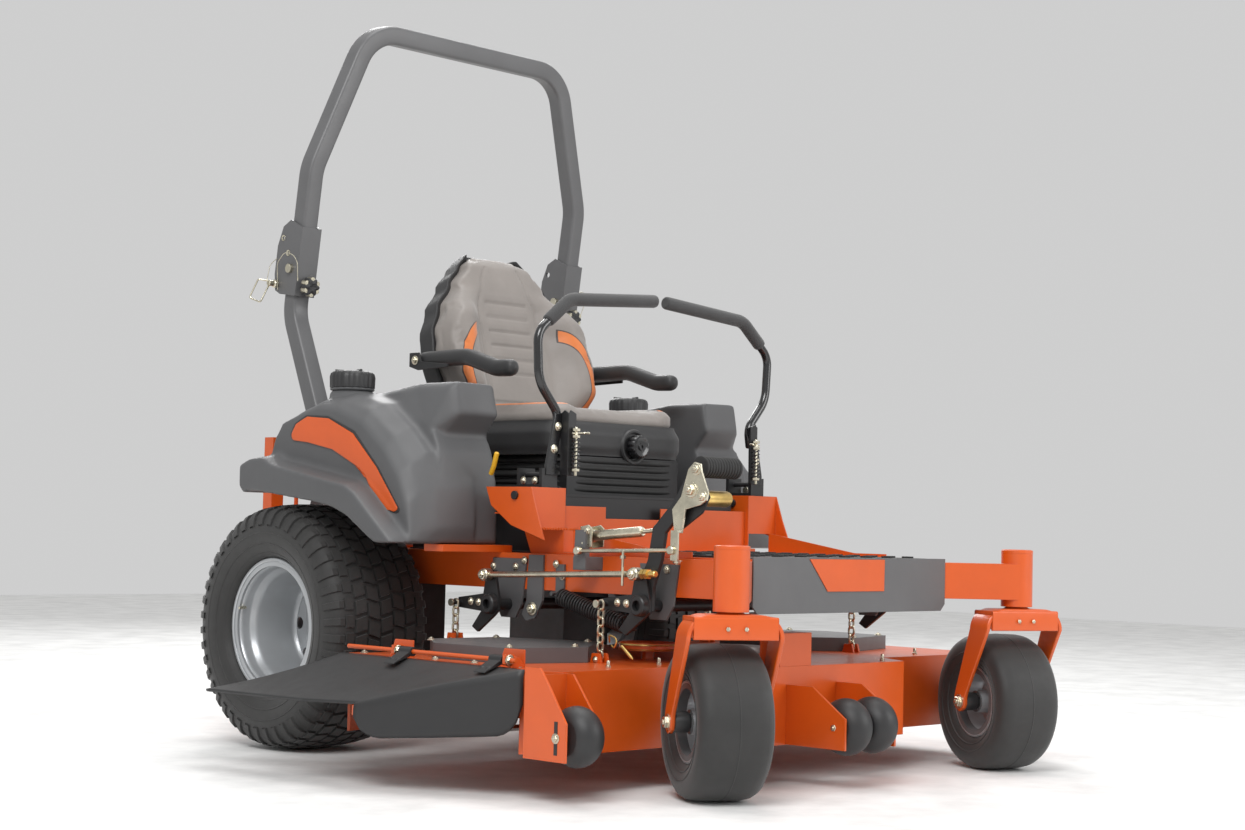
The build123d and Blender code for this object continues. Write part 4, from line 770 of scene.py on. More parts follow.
def tank(label, side, neck_x, neck_y):
    body = Shape()
    tank_hull(body, [(side * x, corners) for x, corners in LOFT])
    back = [(80, 700), (76, 736), (60, 780), (29, 815)]
    crest = {
        455: [(-38, 853), (-110, 884), (-180, 892), (-285, 868), (-380, 806), (-452, 744), (-484, 660),
              (-496, 560)],
        575: [(-38, 853), (-110, 880), (-180, 884), (-285, 858), (-380, 800), (-450, 736), (-482, 655),
              (-494, 556)],
        618: [(-38, 848), (-110, 870), (-180, 868), (-285, 838), (-378, 776), (-442, 708), (-474, 636),
              (-488, 553)],
        640: [(-38, 838), (-110, 856), (-180, 850), (-284, 816), (-372, 752), (-432, 686), (-466, 618),
              (-482, 550)],
        648: [(-38, 828), (-110, 844), (-180, 838), (-282, 804), (-366, 742), (-424, 678), (-458, 610),
              (-478, 548)],
    }
    tank_hull(body, [(side * x, [*ARCH, *back, *top, LOW_FRONT]) for x, top in crest.items()])
    ledge = [(126, 650), (128, 704), (90, 718), (33, 722), (-6, 704), (-150, 680), (-299, 655), (-338, 636),
             (-404, 584),
             (-468, 534), (-484, 521), *ARCH, (108, 634)]
    inner = [(126, 652), (128, 712), (90, 728), (33, 732), (-6, 716), (-150, 692), (-299, 667), (-338, 648),
             (-404, 594), (-468, 542), (-484, 521), *ARCH, (108, 634)]
    tank_hull(body, [(side * 600, inner), (side * 660, inner), (side * 709, ledge)])
    disc_stack(body, (side * neck_x, neck_y, 0), (0, 0, 1), [(780, 60), (888, 56), (899, 46), (899, 40)], 32)
    piece = body.make("fuel_tank_body_" + label, "tank", "chassis", replaces="fuel_tank_" + label)
    # the roll bar's post passes through a notch in the inner rear corner
    notch = cuboid(Shape(), *sorted((side * 300, side * 521)), -39, 210, 400, 1000)
    cutter = linked("notch", notch.mesh("notch"))
    remeshed(piece, 0.0054)
    cut = piece.modifiers.new("cut", "BOOLEAN")
    cut.operation = "DIFFERENCE"
    cut.object = cutter
    cut.solver = "EXACT"
    taken(piece)
    remeshed(piece, 0.0054, 5)
    bpy.data.objects.remove(cutter)
    refinished(piece, "tank")
    return piece


def draped(name, outline, side, skin, finish, thickness, spacing=9.0, lift=1.0, grow=0.0):
    """Thin plate laid over a tank's outer face, from (y, z) corners."""
    tree = BVHTree.FromPolygons([v.co.copy() for v in skin.data.vertices],
                                [tuple(p.vertices) for p in skin.data.polygons])
    work = bmesh.new()
    border = rounded_path([V((0, y, z)) for y, z in outline] + [V((0, *outline[0])), V((0, *outline[1]))], 15,
                          5)[1:-1]
    middle = sum(border, V()) / len(border)
    border = [p + (p - middle).normalized() * grow for p in border]
    loop = [work.verts.new((0, p.y, p.z)) for p in border]
    work.faces.new(loop)
    bmesh.ops.triangulate(work, faces=work.faces)
    for _ in range(5):
        long_edges = [e for e in work.edges if e.calc_length() > spacing]
        if not long_edges:
            break
        bmesh.ops.subdivide_edges(work, edges=long_edges, cuts=1)
        bmesh.ops.triangulate(work, faces=[f for f in work.faces if len(f.verts) > 3])
    for vertex in work.verts:
        start = spot(side * 800, vertex.co.y, vertex.co.z)
        hit = tree.ray_cast(start, V((-side, 0, 0)))[0]
        flat = spot(side * 650, vertex.co.y, vertex.co.z)
        if hit is None or abs(hit.x - ORIGIN.x) > 0.65:
            hit = flat
        vertex.co = hit + V((side, 0, 0)) * lift / 1000
    mesh = bpy.data.meshes.new(name)
    bmesh.ops.recalc_face_normals(work, faces=work.faces)
    work.to_mesh(mesh)
    work.free()
    piece = linked(name, mesh)
    mesh.materials.append(finishes[finish])
    thickened(piece, thickness, 0)
    bevelled(piece, 1.2, 2, 50)
    mesh.shade_smooth()
    mesh.set_sharp_from_angle(angle=math.radians(50))
    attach(piece, "chassis")


BADGE = [(-2, 770), (-30, 808), (-75, 826), (-160, 820), (-258, 782), (-352, 700), (-440, 600), (-424, 594),
         (-378, 604),
         (-318, 672), (-270, 706), (-180, 744), (-80, 762)]
for (label, side), neck in zip(SIDES, ((540, -110), (560, 0))):
    body = tank(label, side, *neck)
    # painted shade: a black plate grown 7 mm past the badge stands in for the shadow in the groove around the
    # badge
    draped("tank_badge_groove_" + label, BADGE, side, body, "vinyl_black", 2.4, lift=0.2, grow=7)
    draped("tank_badge_" + label, BADGE, side, body, "orange_paint", 4.0, lift=1.6)
    crown = Shape()
    x, y = side * neck[0], neck[1]
    fluted(crown, [(900, 50, 0), (903, 56.5, 1.6), (930, 57.4, 2.2), (938, 55, 2.0), (943, 49, 0.6),
                   (944.5, 43, 0), (941, 40, 0), (940, 22, 0), (944, 20, 0), (944.5, 0.1, 0)],
           (x, y, 0), ((1, 0, 0), (0, 1, 0), (0, 0, 1)), 18, 2, 144)
    for i in range(3):
        a = math.radians(120 * i + 20)
        sweep(crown, [V((x + 22 * math.cos(a), y + 22 * math.sin(a), 942)),
                      V((x + 44 * math.cos(a), y + 44 * math.sin(a), 943))], rounded_box(12, 7, 2), (0, 0, 1))
    crown.make("fuel_cap_ribbed_" + label, "black_plastic", "fuel_cap_" + label, replaces="fuel_cap_" + label)
    collar = Shape()
    lathe(collar, [(896, 40), (896, 54), (899, 56), (902, 54), (902, 40)], (x, y, 0), (0, 0, 1), 48)
    collar.make("fuel_neck_ring_" + label, "tank", "chassis")

# ==== seat ==================================================================================

LEAN = math.radians(17)


def seat_back(x, up, out):
    """Spot on the backrest: up along it from its foot, out towards the front."""
    return V((x, -140 + up * math.sin(LEAN) - out * math.cos(LEAN),
              800 + up * math.cos(LEAN) + out * math.sin(LEAN)))


def smooth_step(a, b, value):
    t = min(1, max(0, (value - a) / (b - a)))
    return t * t * (3 - 2 * t)


def back_width(up):
    stops = [(-10, 196), (60, 232), (120, 256), (195, 266), (270, 258), (345, 226), (420, 172), (480, 122),
             (512, 84)]
    for (u0, w0), (u1, w1) in zip(stops, stops[1:]):
        if up <= u1:
            return w0 + (w1 - w0) * smooth_step(u0, u1, up)
    return stops[-1][1]


def back_front(share, up):
    """How far the padded front stands out at a share of the half width."""
    side_share = abs(share)
    bolster = smooth_step(0.42, 0.74, side_share) * smooth_step(20, 120, up) * (1 - smooth_step(300, 420, up))
    rim = 1 - smooth_step(0.84, 1.0, side_share) ** 2
    top = 1 - 0.55 * smooth_step(470, 515, up)
    foot = smooth_step(-20, 40, up)
    return (34 + 62 * bolster + 8 * smooth_step(330, 430, up)) * (0.22 + 0.78 * rim) * top * (0.55 + 0.45
                                                                                              * foot)


def backrest():
    cushion = Shape()
    ups = [-10 + 522 * i / 60 for i in range(61)]
    shares = [-1 + 2 * i / 48 for i in range(49)]
    front = [[seat_back(s * back_width(u) * (1 - 0.03 * (u > 505)), u,
                        back_front(s, u)) for s in shares] for u in ups]
    rear = [[seat_back(s * back_width(u), u, 4) for s in shares] for u in ups]
    quilt(cushion, front, rear)
    return cushion.make("seat_backrest_pad", "vinyl_black", "seat", slot="vinyl", replaces="seat_backrest")


def vinyl():
    """Grey-beige grained vinyl; on the back's side bolsters it has an orange crescent with dark seams."""
    made = surface("grey grained vinyl", (0.235, 0.212, 0.195), 0.5, tint=0.1, tint_scale=7, grain=430,
                   bump=0.34,
                   depth=0.0006, cells=True, sheen=0.2, dust=0.0)
    tree, links = made.node_tree, made.node_tree.links
    shader = tree.nodes["Principled BSDF"]
    base = shader.inputs["Base Color"].links[0].from_socket
    split = node(tree, "ShaderNodeSeparateXYZ", Vector=node(tree, "ShaderNodeTexCoord").outputs["Object"])

    def maths(kind, a, b=None):
        step = node(tree, "ShaderNodeMath", operation=kind)
        for socket, value in zip(step.inputs, (a, b)):
            if value is None:
                continue
            if isinstance(value, (int, float)):
                socket.default_value = value
            else:
                links.new(value, socket)
        return step.outputs[0]

    out = maths("ABSOLUTE", maths("SUBTRACT", split.outputs["X"], ORIGIN.x))
    across = maths("DIVIDE", maths("SUBTRACT", out, 0.140), 0.096)
    up = maths("DIVIDE", maths("SUBTRACT", split.outputs["Z"], 0.972), 0.132)
    ring = maths("SQRT", maths("ADD", maths("MULTIPLY", across, across), maths("MULTIPLY", up, up)))
    above = maths("GREATER_THAN", split.outputs["Z"], 0.875)

    def crescent(inner, outer, from_x):
        """1 inside a part of the ring, above its foot and away from the middle."""
        band = maths("MULTIPLY", maths("GREATER_THAN", ring, inner), maths("LESS_THAN", ring, outer))
        return maths("MULTIPLY", maths("MULTIPLY", band, maths("GREATER_THAN", out, from_x)), above)

    seamed = overlaid(tree, crescent(0.745, 1.025, 0.144), base, (0.05, 0.04, 0.035))
    links.new(overlaid(tree, crescent(0.77, 1.0, 0.148), seamed, (0.62, 0.17, 0.035)),
              shader.inputs["Base Color"])
    return made


finishes["vinyl"] = vinyl()


def stitched(piece, groove):
    """Presses sewn lines into a pad: groove gives the depth and direction in mm at a point."""
    for vertex in piece.data.vertices:
        point = (vertex.co - ORIGIN) * 1000
        vertex.co += groove(point) / 1000
    piece.data.update()


BACK_OUT = seat_back(0, 0, 1) - seat_back(0, 0, 0)


def back_groove(point):
    up = (point - seat_back(0, 0, 0)).dot(seat_back(0, 1, 0) - seat_back(0, 0, 0))
    out = (point - seat_back(0, 0, 0)).dot(BACK_OUT)
    if out < 14:
        return V()
    depth = 0
    width = back_width(max(-10, min(512, up)))
    panel = min(0.46 * width, 104)
    for line in (168, 208, 248, 288, 328, 368):
        if abs(point.x) < 74:
            depth += 4.2 * math.exp(-((up - line) / 3.4) ** 2)
            depth -= 1.2 * math.exp(-((up - line - 20) / 9) ** 2)
    if 86 < up < 470:
        depth += 4.5 * math.exp(-((abs(point.x) - panel) / 3.2) ** 2)
    if abs(point.x) < panel:
        depth += 4.5 * math.exp(-((up - 86) / 3.2) ** 2)
    return -BACK_OUT * depth


back_pad = backrest()
remeshed(back_pad, 0.0052, 3)
inflated(back_pad, 3.0, 0.008)
stitched(back_pad, back_groove)
refinished(back_pad, "vinyl")
piping = Shape()
for sign in (-1, 1):
    edge_line = [seat_back(sign * back_width(u) * 0.985, u, 11) for u in range(0, 512, 16)]
    tube(piping, edge_line, 2.6, 8)
piping.make("seat_back_piping", "vinyl_black", "seat", slot="vinyl")
shell = Shape()
ups = [-10 + 524 * i / 30 for i in range(31)]
shares = [-1 + 2 * i / 24 for i in range(25)]
outer = [[seat_back(s * (back_width(u) + 7), u, -34 + 10 * s * s + 6
                    * math.cos(s * 3)) for s in shares] for u in ups]
inner = [[seat_back(s * (back_width(u) + 7), u, 8 + 18 * smooth_step(0.8, 1.0,
                                                                     abs(s))) for s in shares] for u in ups]
quilt(shell, outer, inner)
shell.make("seat_back_shell", "black_plastic", "seat", replaces="seat_shell", sharp=50, bevel=5)


def cushion_block(shape, half_x, y0, y1, z0, z1, crown, power=4.0, rows=26):
    """Closed crowned pad on a rounded-rectangle plan."""
    middle, half_y = (y0 + y1) / 2, (y1 - y0) / 2
    rings = []
    for level in range(rows + 1):
        t = level / rows
        z = z0 + (z1 - z0) * t
        pull = (1 - 0.05 * smooth_step(0.6, 1.0, t) - 0.03 * (1 - smooth_step(0.0, 0.3, t)))
        ring = []
        for i in range(96):
            a = 2 * math.pi * i / 96
            c, s = math.cos(a), math.sin(a)
            reach = (abs(c) ** power + abs(s) ** power) ** (-1 / power)
            ring.append(V((half_x * c * reach * pull, middle + half_y * s * reach * pull, z)))
        rings.append(ring)
    shape.grid(rings, close_columns=True)
    for ring, lift in ((rings[0], 0), (rings[-1], crown)):
        inner_rings = [[V((p.x * k, middle + (p.y - middle) * k, p.z + lift * (1 - k * k))) for p in ring]
                       for k in (1.0, 0.85, 0.65, 0.45, 0.25, 0.02)]
        shape.grid(inner_rings, close_columns=True)


lower = Shape()
cushion_block(lower, 243, -543, -150, 748, 832, 0, 7.0)
lower_pad = lower.make("seat_cushion_sides", "vinyl_black", "seat", slot="vinyl")
upper = Shape()
cushion_block(upper, 232, -536, -158, 828, 858, 8, 6.0, 8)
top_pad = upper.make("seat_cushion_top", "vinyl", "seat", slot="vinyl", replaces="seat_cushion")
remeshed(top_pad, 0.005, 3)
inflated(top_pad, 4.0, 0.008)


def cushion_groove(point):
    if point.z < 846:
        return V()
    depth = 0
    for line in (-470, -420, -370, -320, -270):
        if abs(point.x) < 118:
            depth += 4.0 * math.exp(-((point.y - line) / 3.6) ** 2)
    if -505 < point.y < -230:
        depth += 4.5 * math.exp(-((abs(point.x) - 132) / 3.4) ** 2)
    bolster = 12 * smooth_step(132, 175, abs(point.x)) * (1 - smooth_step(195, 232, abs(point.x)))
    return V((0, 0, bolster - depth))


stitched(top_pad, cushion_groove)
refinished(top_pad, "vinyl")


def armrest(label, side):
    pad = Shape()
    line = rounded_path([(side * 290, -74, 992), (side * 290, -262, 994), (side * 290, -372, 962),
                         (side * 290, -446, 960)], [110, 60], 8)
    path = finer(line, 10)
    scales = []
    for i in range(len(path)):
        share = i / (len(path) - 1)
        end = min(share / 0.05, (1 - share) / 0.05, 1)
        scales.append(max(0.12, math.sqrt(1 - (1 - end) ** 2)))
    sweep(pad, path, rounded_box(42, 44, 18, 6), (1, 0, 0), scales=scales)
    piece = pad.make("armrest_pad_" + label, "vinyl_black", "armrest_" + label, replaces="armrest_" + label,
                     sharp=60)
    remeshed(piece, 0.005, 4)
    inflated(piece, 2.0, 0.003)
    refinished(piece, "vinyl_black")
    bracket = Shape()
    outline = [(-62, 1010), (-62, 974), (-96, 964), (-214, 968), (-214, 976), (-110, 986), (-100, 1010)]
    prism(bracket, outline, side * 5, across_x(side * 314.6))
    bracket.make("armrest_bracket_" + label, "black_paint", "armrest_" + label, bevel=1.2)
    pivot = Shape()
    bolt(pivot, V((side * 319.6, -86, 990)), (side, 0, 0), 9)
    pivot.make("armrest_bolt_" + label, "zinc", "armrest_" + label)
    hinge = Shape()
    prism(hinge, [(-70, 1018), (-70, 950), (-100, 905), (-120, 905), (-112, 960), (-104, 1010), (-92, 1020)],
          side * 12, across_x(side * 252))
    hinge.make("armrest_hinge_" + label, "black_paint", "seat", bevel=2)


for label, side in SIDES:
    armrest(label, side)
suspension = Shape()
for level in range(5):
    z = 655 + level * 18
    cushion_block(suspension, 214 - 6 * (level % 2), -546, -128, z, z + 17, 0, 8.0, 4)
suspension.make("seat_suspension_boot", "mat_rubber", "chassis", sharp=50)
knob = Shape()
fluted(knob, [(-542, 22, 0), (-545, 28, 1), (-548, 30.5, 2.2), (-566, 30.5, 2.2), (-571, 28, 1.4),
              (-573, 24, 0),
              (-571, 17, 0), (-571, 10, 0), (-574, 9, 0), (-574, 5, 0), (-571, 4, 0), (-571, 0.1, 0)],
       (30, 0, 775), ((1, 0, 0), (0, 0, 1), (0, 1, 0)), 12, 3, 120)
knob.make("seat_knob_ribbed", "gloss_black", "seat_knob", slot="black_plastic", replaces="seat_knob")
recess = Shape()
lathe(recess, [(-543, 34), (-548, 38), (-548, 43), (-543, 46)], (30, 0, 775), (0, 1, 0), 48)
recess.make("seat_knob_bezel", "vinyl_black", "seat", slot="black_plastic")

# ==== levers ================================================================================


def lever(label, side):
    tubes = Shape()
    tube(tubes, rounded_path([(side * 352, LEVER_Y, 785), (side * 343, LEVER_Y, 836),
                              (side * 410, LEVER_Y, 912),
                              (side * 417, LEVER_Y, 1028), (side * 352, LEVER_Y, 1083)], [46, 90, 52], 10),
                              11, 16)
    strap = [(side * 389, 690), (side * 389, 712), (side * 362, 838), (side * 332, 838), (side * 350, 760),
             (side * 360, 690)]
    prism(tubes, strap, 8, across_y(-667))
    tubes.make("lever_tube_" + label, "gloss_black", "lever_" + label, slot="black_paint",
               replaces="control_lever_" + label, bevel=0.8)
    foam = Shape()
    tube(foam, rounded_path([(side * 386, LEVER_Y, 1056), (side * 314, LEVER_Y, 1115),
                             (side * 17, LEVER_Y, 1137.5)], 62, 12),
         16.5, 20)
    foam.make("lever_grip_foam_" + label, "foam", "lever_" + label, replaces="lever_grip_" + label)
    metal = Shape()
    for z, x in ((806, 354), (752, 366)):
        bolt(metal, V((side * x, -667, z)), (0, -1, 0), 8)
    metal.make("lever_bolts_" + label, "zinc", "lever_" + label)
    plates = Shape()
    prism(plates, [(-690, 690), (-690, 838), (-676, 846), (-662, 838), (-664, 690)], side * 4,
          across_x(side * 338))
    prism(plates, [(side * 338, 690), (side * 338, 838), (side * 334, 846), (side * 316, 838),
                   (side * 318, 690)],
          4, across_y(-690))
    plates.make("lever_stop_plate_" + label, "black_paint", "lever_carrier_" + label, bevel=0.8)
    spring = Shape()
    coil(spring, (side * 326, -700, 704), (side * 326, -700, 778), 9, 1.6, 8)
    spring.make("lever_spring_" + label, "gloss_black", "lever_carrier_" + label, slot="black_paint")
    studs = Shape()
    disc_stack(studs, (side * 326, -700, 690), (0, 0, 1), [(0, 4), (114, 4), (116, 3)], 12)
    for z in (700, 780, 796):
        disc_stack(studs, (side * 326, -700, z), (0, 0, 1), [(0, 10), (6, 10)], 6)
    tube(studs, rounded_path([(side * 338, -700, 790), (side * 300, -700, 792), (side * 296, -716, 792)], 6),
         2.6, 8)
    for y, z in ((-640, 690), (-600, 690)):
        bolt(studs, V((side * 400, y, z - 14)), (side, 0, 0), 7)
    studs.make("lever_carrier_studs_" + label, "zinc", "lever_carrier_" + label)


for label, side in SIDES:
    lever(label, side)

# ==== discharge chute =======================================================================


def chute():
    sheet = Shape()
    steps = 26
    outer = rounded_path([(-984, -722, 184), (-1003, -560, 180), (-1005, -190, 176), (-990, -196, 178)],
                         [120, 10], 12)
    hinge = [V((-812, -1066, 270)), V((-812, -452, 270))]

    def edge(line, t):
        lengths = [(q - p).length for p, q in zip(line, line[1:])]
        left = t * sum(lengths)
        for p, q, size in zip(line, line[1:], lengths):
            if left <= size:
                return p.lerp(q, left / size)
            left -= size
        return line[-1]

    rows = []
    for i in range(41):
        t = i / 40
        start, end = hinge[0].lerp(hinge[1], t), edge(outer, t)
        row = []
        for j in range(steps + 1):
            u = j / steps
            p = start.lerp(end, u)
            bow = math.sin(math.pi * u)
            front = (1 - t) ** 6
            row.append(p + V((0, -15 * bow * front, 7 * bow * front - 5 * bow * (1 - front) * (0.4 + t))))
        rows.append(row)
    sheet.grid(rows)
    low = []
    for j in range(steps + 1):
        u = j / steps
        top = rows[0][j]
        line = []
        depth = min(1, math.sqrt(max(0.02, 1 - max(0, (0.16 - min(u, 1 - u)) / 0.16) ** 2)))
        bottom = (134 - 26 * u) * depth + top.z * (1 - depth) * 0.55 + 134 * (1 - depth) * 0.45
        for drop, out in ((0, 0), (3, 4), (8, 7), (15, 8.5)):
            line.append(top + V((-out * 0.85, -out * 0.45, -drop)))
        for k in range(1, 9):
            line.append(V((line[3].x, line[3].y, line[3].z + (bottom - line[3].z) * k / 8)))
        low.append(line)
    sheet.grid(low)
    piece = sheet.make("chute_sheet", "black_plastic", "chute", replaces="discharge_chute", sharp=60)
    thickened(piece, 6, -1)
    tip = Shape()
    cuboid(tip, -984, -974, -732, -712, 156, 178)
    tip.make("chute_tip", "orange_paint", "chute", bevel=1.5)
    hinges = Shape()
    for y in (-970, -670):
        disc_stack(hinges, (HINGE_X, y - 20, HINGE_Z), (0, 1, 0), [(0, 10.5), (40, 10.5)], 20)
        prism(hinges, [(-800, 295), (-812, 283), (-850, 263), (-853, 259), (-808, 274)], 36, across_y(y - 18))
        for shift in (-10, 10):
            bolt(hinges, V((-836, y + shift, 266)), (-0.45, 0, 0.89), 6)
    hinges.make("chute_hinges", "black_paint", "chute", bevel=0.8)


chute()

# ==== lift linkage ==========================================================================


def oval_link(shape, centre, facing, wire=3.0, inner=(19, 13)):
    """One chain link: long way up, its flat side turned to facing."""
    long_half, wide_half = inner[0] / 2 + wire, inner[1] / 2 + wire
    across = V((0, 1, 0)) if abs(facing[0]) > 0.5 else V((1, 0, 0))
    loop = []
    for i in range(28):
        a = 2 * math.pi * i / 28
        straight = math.copysign(long_half - wide_half, math.sin(a)) if abs(math.sin(a)) > 0.05 else 0
        loop.append(V(centre) + across * (wide_half - wire / 2) * math.cos(a)
                    + V((0, 0, 1)) * ((wide_half - wire / 2) * math.sin(a) + straight))
    sweep(shape, loop, circle(wire, 8), facing, closed=True)


chain_shape = Shape()
for side in (-1, 1):
    for y, z, count in ((-925, 393.8, 7), (-427, 376.8, 5)):
        for i in range(count):
            oval_link(chain_shape, (side * 452, y, z - 18.7 * i), (1, 0, 0) if i % 2 == 0 else (0, 1, 0))
chain_shape.make("lift_chain_links", "zinc", "deck", replaces="deck_chains")

spring = Shape()
coil(spring, (-400, -738, 405), (-400, -949, 350), 18.3, 2.7, 25, 16, 8)
for near, far in (((-400, -738, 405), (-400, -716, 411)), ((-400, -949, 350), (-400, -975, 343))):
    tube(spring, [near, V(near).lerp(V(far), 0.5), far], 3.6, 10)
spring.make("lift_spring_coil", "black_paint", "chassis", slot="black_paint", replaces="assist_spring")
damper = Shape()
way = V((0, -1010 + 850.4, 562 - 549)).normalized()
lathe(damper, [(0, 6), (0, 11), (4, 12), (150, 12), (155, 9), (155, 5), (200, 5), (200, 3)],
      (-404, -850.4, 549), way, 24)
for at, size in ((-6, 15), (204, 13)):
    centre = V((-404, -850.4, 549)) + way * at
    disc_stack(damper, centre - V((9, 0, 0)), (1, 0, 0), [(0, size * 0.8), (2, size), (16, size),
                                                          (18, size * 0.8)], 24)
damper.make("lift_damper", "zinc", "chassis")

metal = Shape()
for x in (-425, -387):
    prism(metal, [(-862, 524), (-862, 566), (-850, 574), (-828, 570), (-824, 520)], 3, across_x(x))
cuboid(metal, -425, -384, -828, -824, 520, 570)
for y, z in ((-846, 560), (-838, 532)):
    bolt(metal, V((-425, y, z)), (-1, 0, 0), 7)
metal.make("damper_clevis", "zinc", "chassis", bevel=0.6)

pedal = Shape()
prism(pedal, [(-1128, 560), (-1120, 612), (-1146, 640), (-1166, 700), (-1184, 716), (-1202, 712),
              (-1206, 694),
              (-1226, 650), (-1222, 632), (-1204, 622), (-1160, 612), (-1150, 560)], -5, across_x(-428.5))
prism(pedal, [(-1128, 500), (-1128, 566), (-1150, 566), (-1150, 500)], -5, across_x(-440))
cuboid(pedal, -441, -428, -1150, -1128, 560, 566)
for y, z, size in ((-1190, 700, 10), (-1176, 655, 13), (-1210, 640, 10)):
    bolt(pedal, V((-433.5, y, z)), (-1, 0, 0), size)
bolt(pedal, V((-434, -1139, 500)), (0, 0, -1), 9)
pedal.make("pedal_lever_plate", "zinc", "lift_pedal", bevel=0.7)
thin = Shape()
tube(thin, [(-444, -838, 514), (-444, -1000, 518), (-444, -1132, 522)], 4.5, 12)
for y, z in ((-838, 514), (-1132, 522)):
    disc_stack(thin, (-452, y, z), (1, 0, 0), [(0, 8), (2, 10), (12, 10), (14, 8)], 20)
thin.make("height_rod", "zinc", "chassis")
peg = Shape()
disc_stack(peg, (-412, -1190, 637), (1, 0, 0), [(0, 17.5), (78, 17.5), (82, 16)], 28)
peg.make("pedal_peg_sleeve", "brass", "lift_pedal")
pad = Shape()
ribs = []
for i in range(13):
    ribs += [(i * 9, 22), (i * 9 + 1, 24), (i * 9 + 6, 24), (i * 9 + 7, 22)]
disc_stack(pad, (-408, -1178, 706), (1, 0, 0), [(0, 20), *ribs, (118, 18)], 32)
pad.make("pedal_pad", "mat_rubber", "lift_pedal")

rod_ends = Shape()
for shaft_y, shaft_z, nuts in ((-1035, 397, True), (-537, 380, False)):
    y, z = shaft_y + 5, shaft_z + 70
    disc_stack(rod_ends, (-463, y, z), (1, 0, 0), [(0, 12), (3, 15), (22, 15), (25, 12)], 26)
    bolt(rod_ends, V((-464, y, z)), (-1, 0, 0), 9)
rod_ends.make("lift_rod_ends", "zinc", "lift_rod")
nuts = Shape()
way = V((0, -498, 17)).normalized()
for along, size in ((-18, 10), (20, 12), (31, 12)):
    disc_stack(nuts, V((-450, -1030, 467)) + way * along, way, [(0, size), (9, size)], 6)
disc_stack(nuts, V((-450, -1030, 467)) + way * 40, way, [(0, 7.6), (20, 7.6), (22, 6)], 16)
nuts.make("lift_rod_nuts", "brass", "lift_rod")
for body, y, z in (("lift_pedal", -1035, 397), ("lift_rear_shaft", -537, 380)):
    hubs = Shape()
    marks = Shape()
    for side in (-1, 1):
        lathe(hubs, [(0, 15), (0, 25), (14, 23), (17, 20), (17, 12), (6, 12), (6, 15)], (side * 436, y, z),
              (side, 0, 0), 32)
        bolt(marks, V((side * 436, y + 46, z + 3)), (side, 0, 0), 7)
        bolt(marks, V((side * 436, y + 74, z + 4)), (side, 0, 0), 7)
        disc_stack(marks, (side * 466, y + 110, z), (side, 0, 0), [(0, 9), (4, 9)], 16)
    hubs.make("crank_hubs_" + body, "black_paint", body)
    marks.make("crank_bolts_" + body, "zinc", body)

stay = Shape()
bolt(stay, V((-382, -622, 372)), (-1, 0, 0), 12)
for y, z in ((-700, 480), (-722, 452), (-590, 486), (-480, 470), (-1010, 478), (-1060, 478), (-560, 470)):
    bolt(stay, V((-381, y, z)), (-1, 0, 0), 7)
stay.make("frame_side_bolts", "zinc", "chassis")
screw = Shape()
tube(screw, [(-462, -1000, 440), (-462, -1000, 520)], 3, 10)
disc_stack(screw, (-462, -1000, 500), (0, 0, 1), [(0, 7), (7, 7)], 6)
screw.make("height_screw", "zinc", "lift_rod")
pin = Shape()
tube(pin, rounded_path([(-447, -950, 312), (-462, -962, 330), (-462, -990, 322), (-462, -980, 300),
                        (-456, -965, 306)], 9), 2, 8)
disc_stack(pin, (-458, -1000, 306), V((-0.25, -0.85, -0.45)), [(0, 4), (48, 4), (56, 1)], 12)
pin.make("chain_hook_pin", "brass", "deck")

# ==== deck fittings =========================================================================

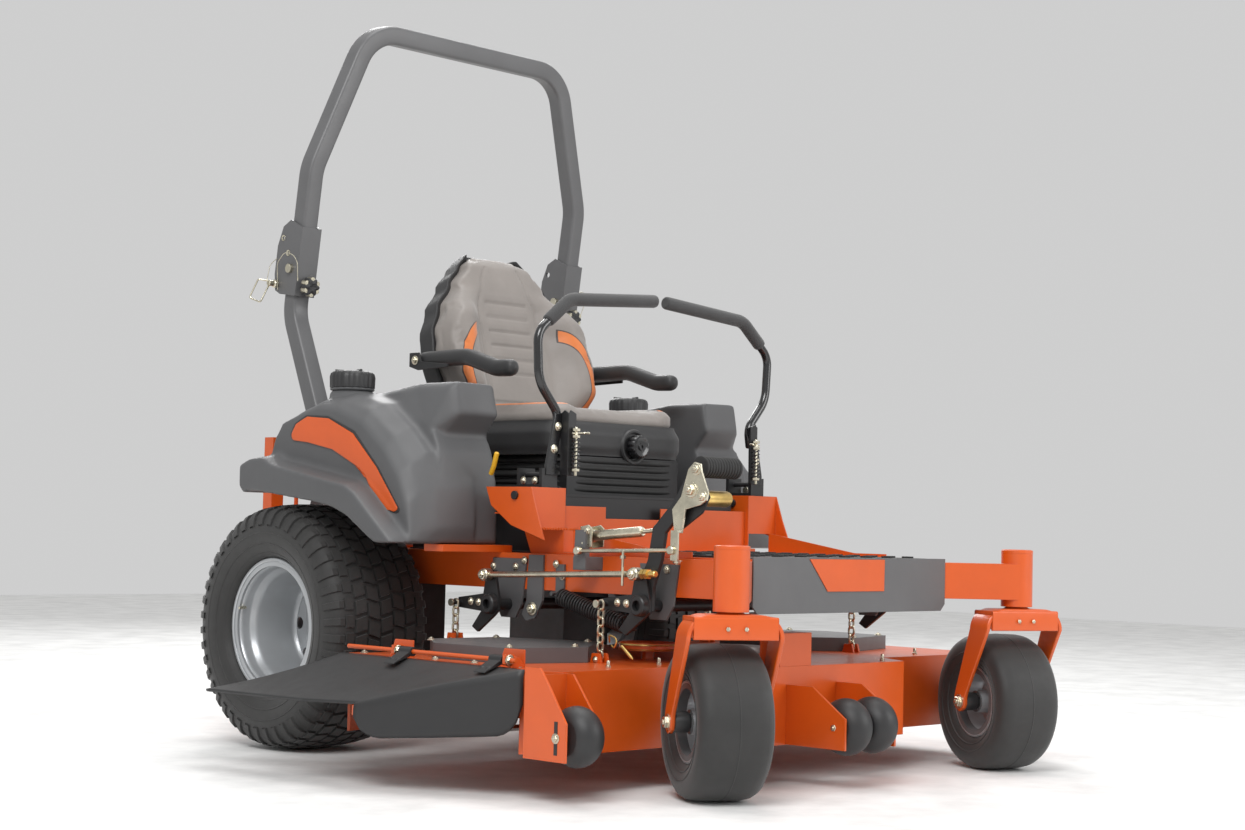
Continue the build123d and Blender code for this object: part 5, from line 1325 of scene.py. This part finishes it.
slots = Shape()
heads = Shape()
for x, y, z in ((-833, -1187, 139), (827, -1187, 139), (-142, -1352, 139)):
    for shift in (-22, 22):
        cuboid(slots, x - 0.6, x, y - 5, y + 5, z + shift - 12, z + shift + 12)
    bolt(heads, V((x, y, z)), (-1, 0, 0), 8)
slots.make("roller_height_slots", "black_paint", "deck")
for side in (-1, 1):
    for x, y in ((640, -560), (420, -540), (330, -760), (500, -893), (660, -850)):
        bolt(heads, V((side * x, y, 300)), (0, 0, 1), 7)
    for y in (-925, -427):
        bolt(heads, V((side * 466, y, 288 if y > -900 else 272)), (side, 0, 0), 6)
for y in (-1000, -860, -730, -600, -480):
    bolt(heads, V((-770, y, 269)), (0, 0, 1), 7)
for x, y in ((-560, -1060), (-380, -1040), (540, -1060), (250, -1180), (-120, -1100)):
    disc_stack(heads, (x, y, 265), (0, 0, 1), [(0, 6), (5, 6), (6, 4), (14, 4), (16, 3)], 12)
for y in (-1001, -633):
    bolt(heads, V((-800, y - 5, 285)), (0, -1, 0), 9)
heads.make("deck_bolts", "zinc", "deck")
ears = Shape()
for y in (-1001, -633):
    prism(ears, [(-796, 268), (-806, 280), (-804, 296), (-772, 290), (-755, 269)], 5, across_y(y - 7))
    prism(ears, [(y - 4, 269), (y - 4, 306), (y + 60, 306), (y + 76, 269)], 4, across_x(-757))
ears.make("chute_hinge_ears", "orange_paint", "deck", bevel=0.8)
pulley = Shape()
lathe(pulley, [(287, 20), (287, 69), (290, 70), (294, 62), (299, 70), (302, 69), (302, 20)], (-250, -880, 0),
      (0, 0, 1), 64)
pulley.make("idler_pulley", "brass", "deck")

# ==== frame fittings ========================================================================

teeth = Shape()
for i in range(16):
    cuboid(teeth, -440, -408, -666 - 9 * i, -662 - 9 * i, 560, 566)
teeth.make("height_rack_teeth", "orange_paint", "chassis")
heads = Shape()
for side in (-1, 1):
    lathe(heads, [(529, 30), (535, 31), (538, 34), (535.6, 38.2), (529, 38.2)],
          (side * CASTER_X, -WHEELBASE, 0), (0, 0, 1), 40)
heads.make("caster_tube_rims", "orange_paint", "chassis")
yellow = Shape()
tube(yellow, [(-420, -505, 690), (-424, -520, 712), (-430, -536, 742)], 6, 12)
yellow.make("bypass_lever", "yellow", "chassis", slot="black_plastic")

# ==== floor and its finish ==================================================================

floor_mesh = bpy.data.meshes.new("floor")
floor_mesh.from_pydata([ORIGIN + Vector(p) for p in ((-9, -9, 0), (9, -9, 0), (9, 9, 0), (-9, 9, 0))], [],
                       [(0, 1, 2, 3)])
floor = linked("floor", floor_mesh)
floor_mesh.materials.append(surface("pale floor", (0.86, 0.86, 0.85), 0.6))
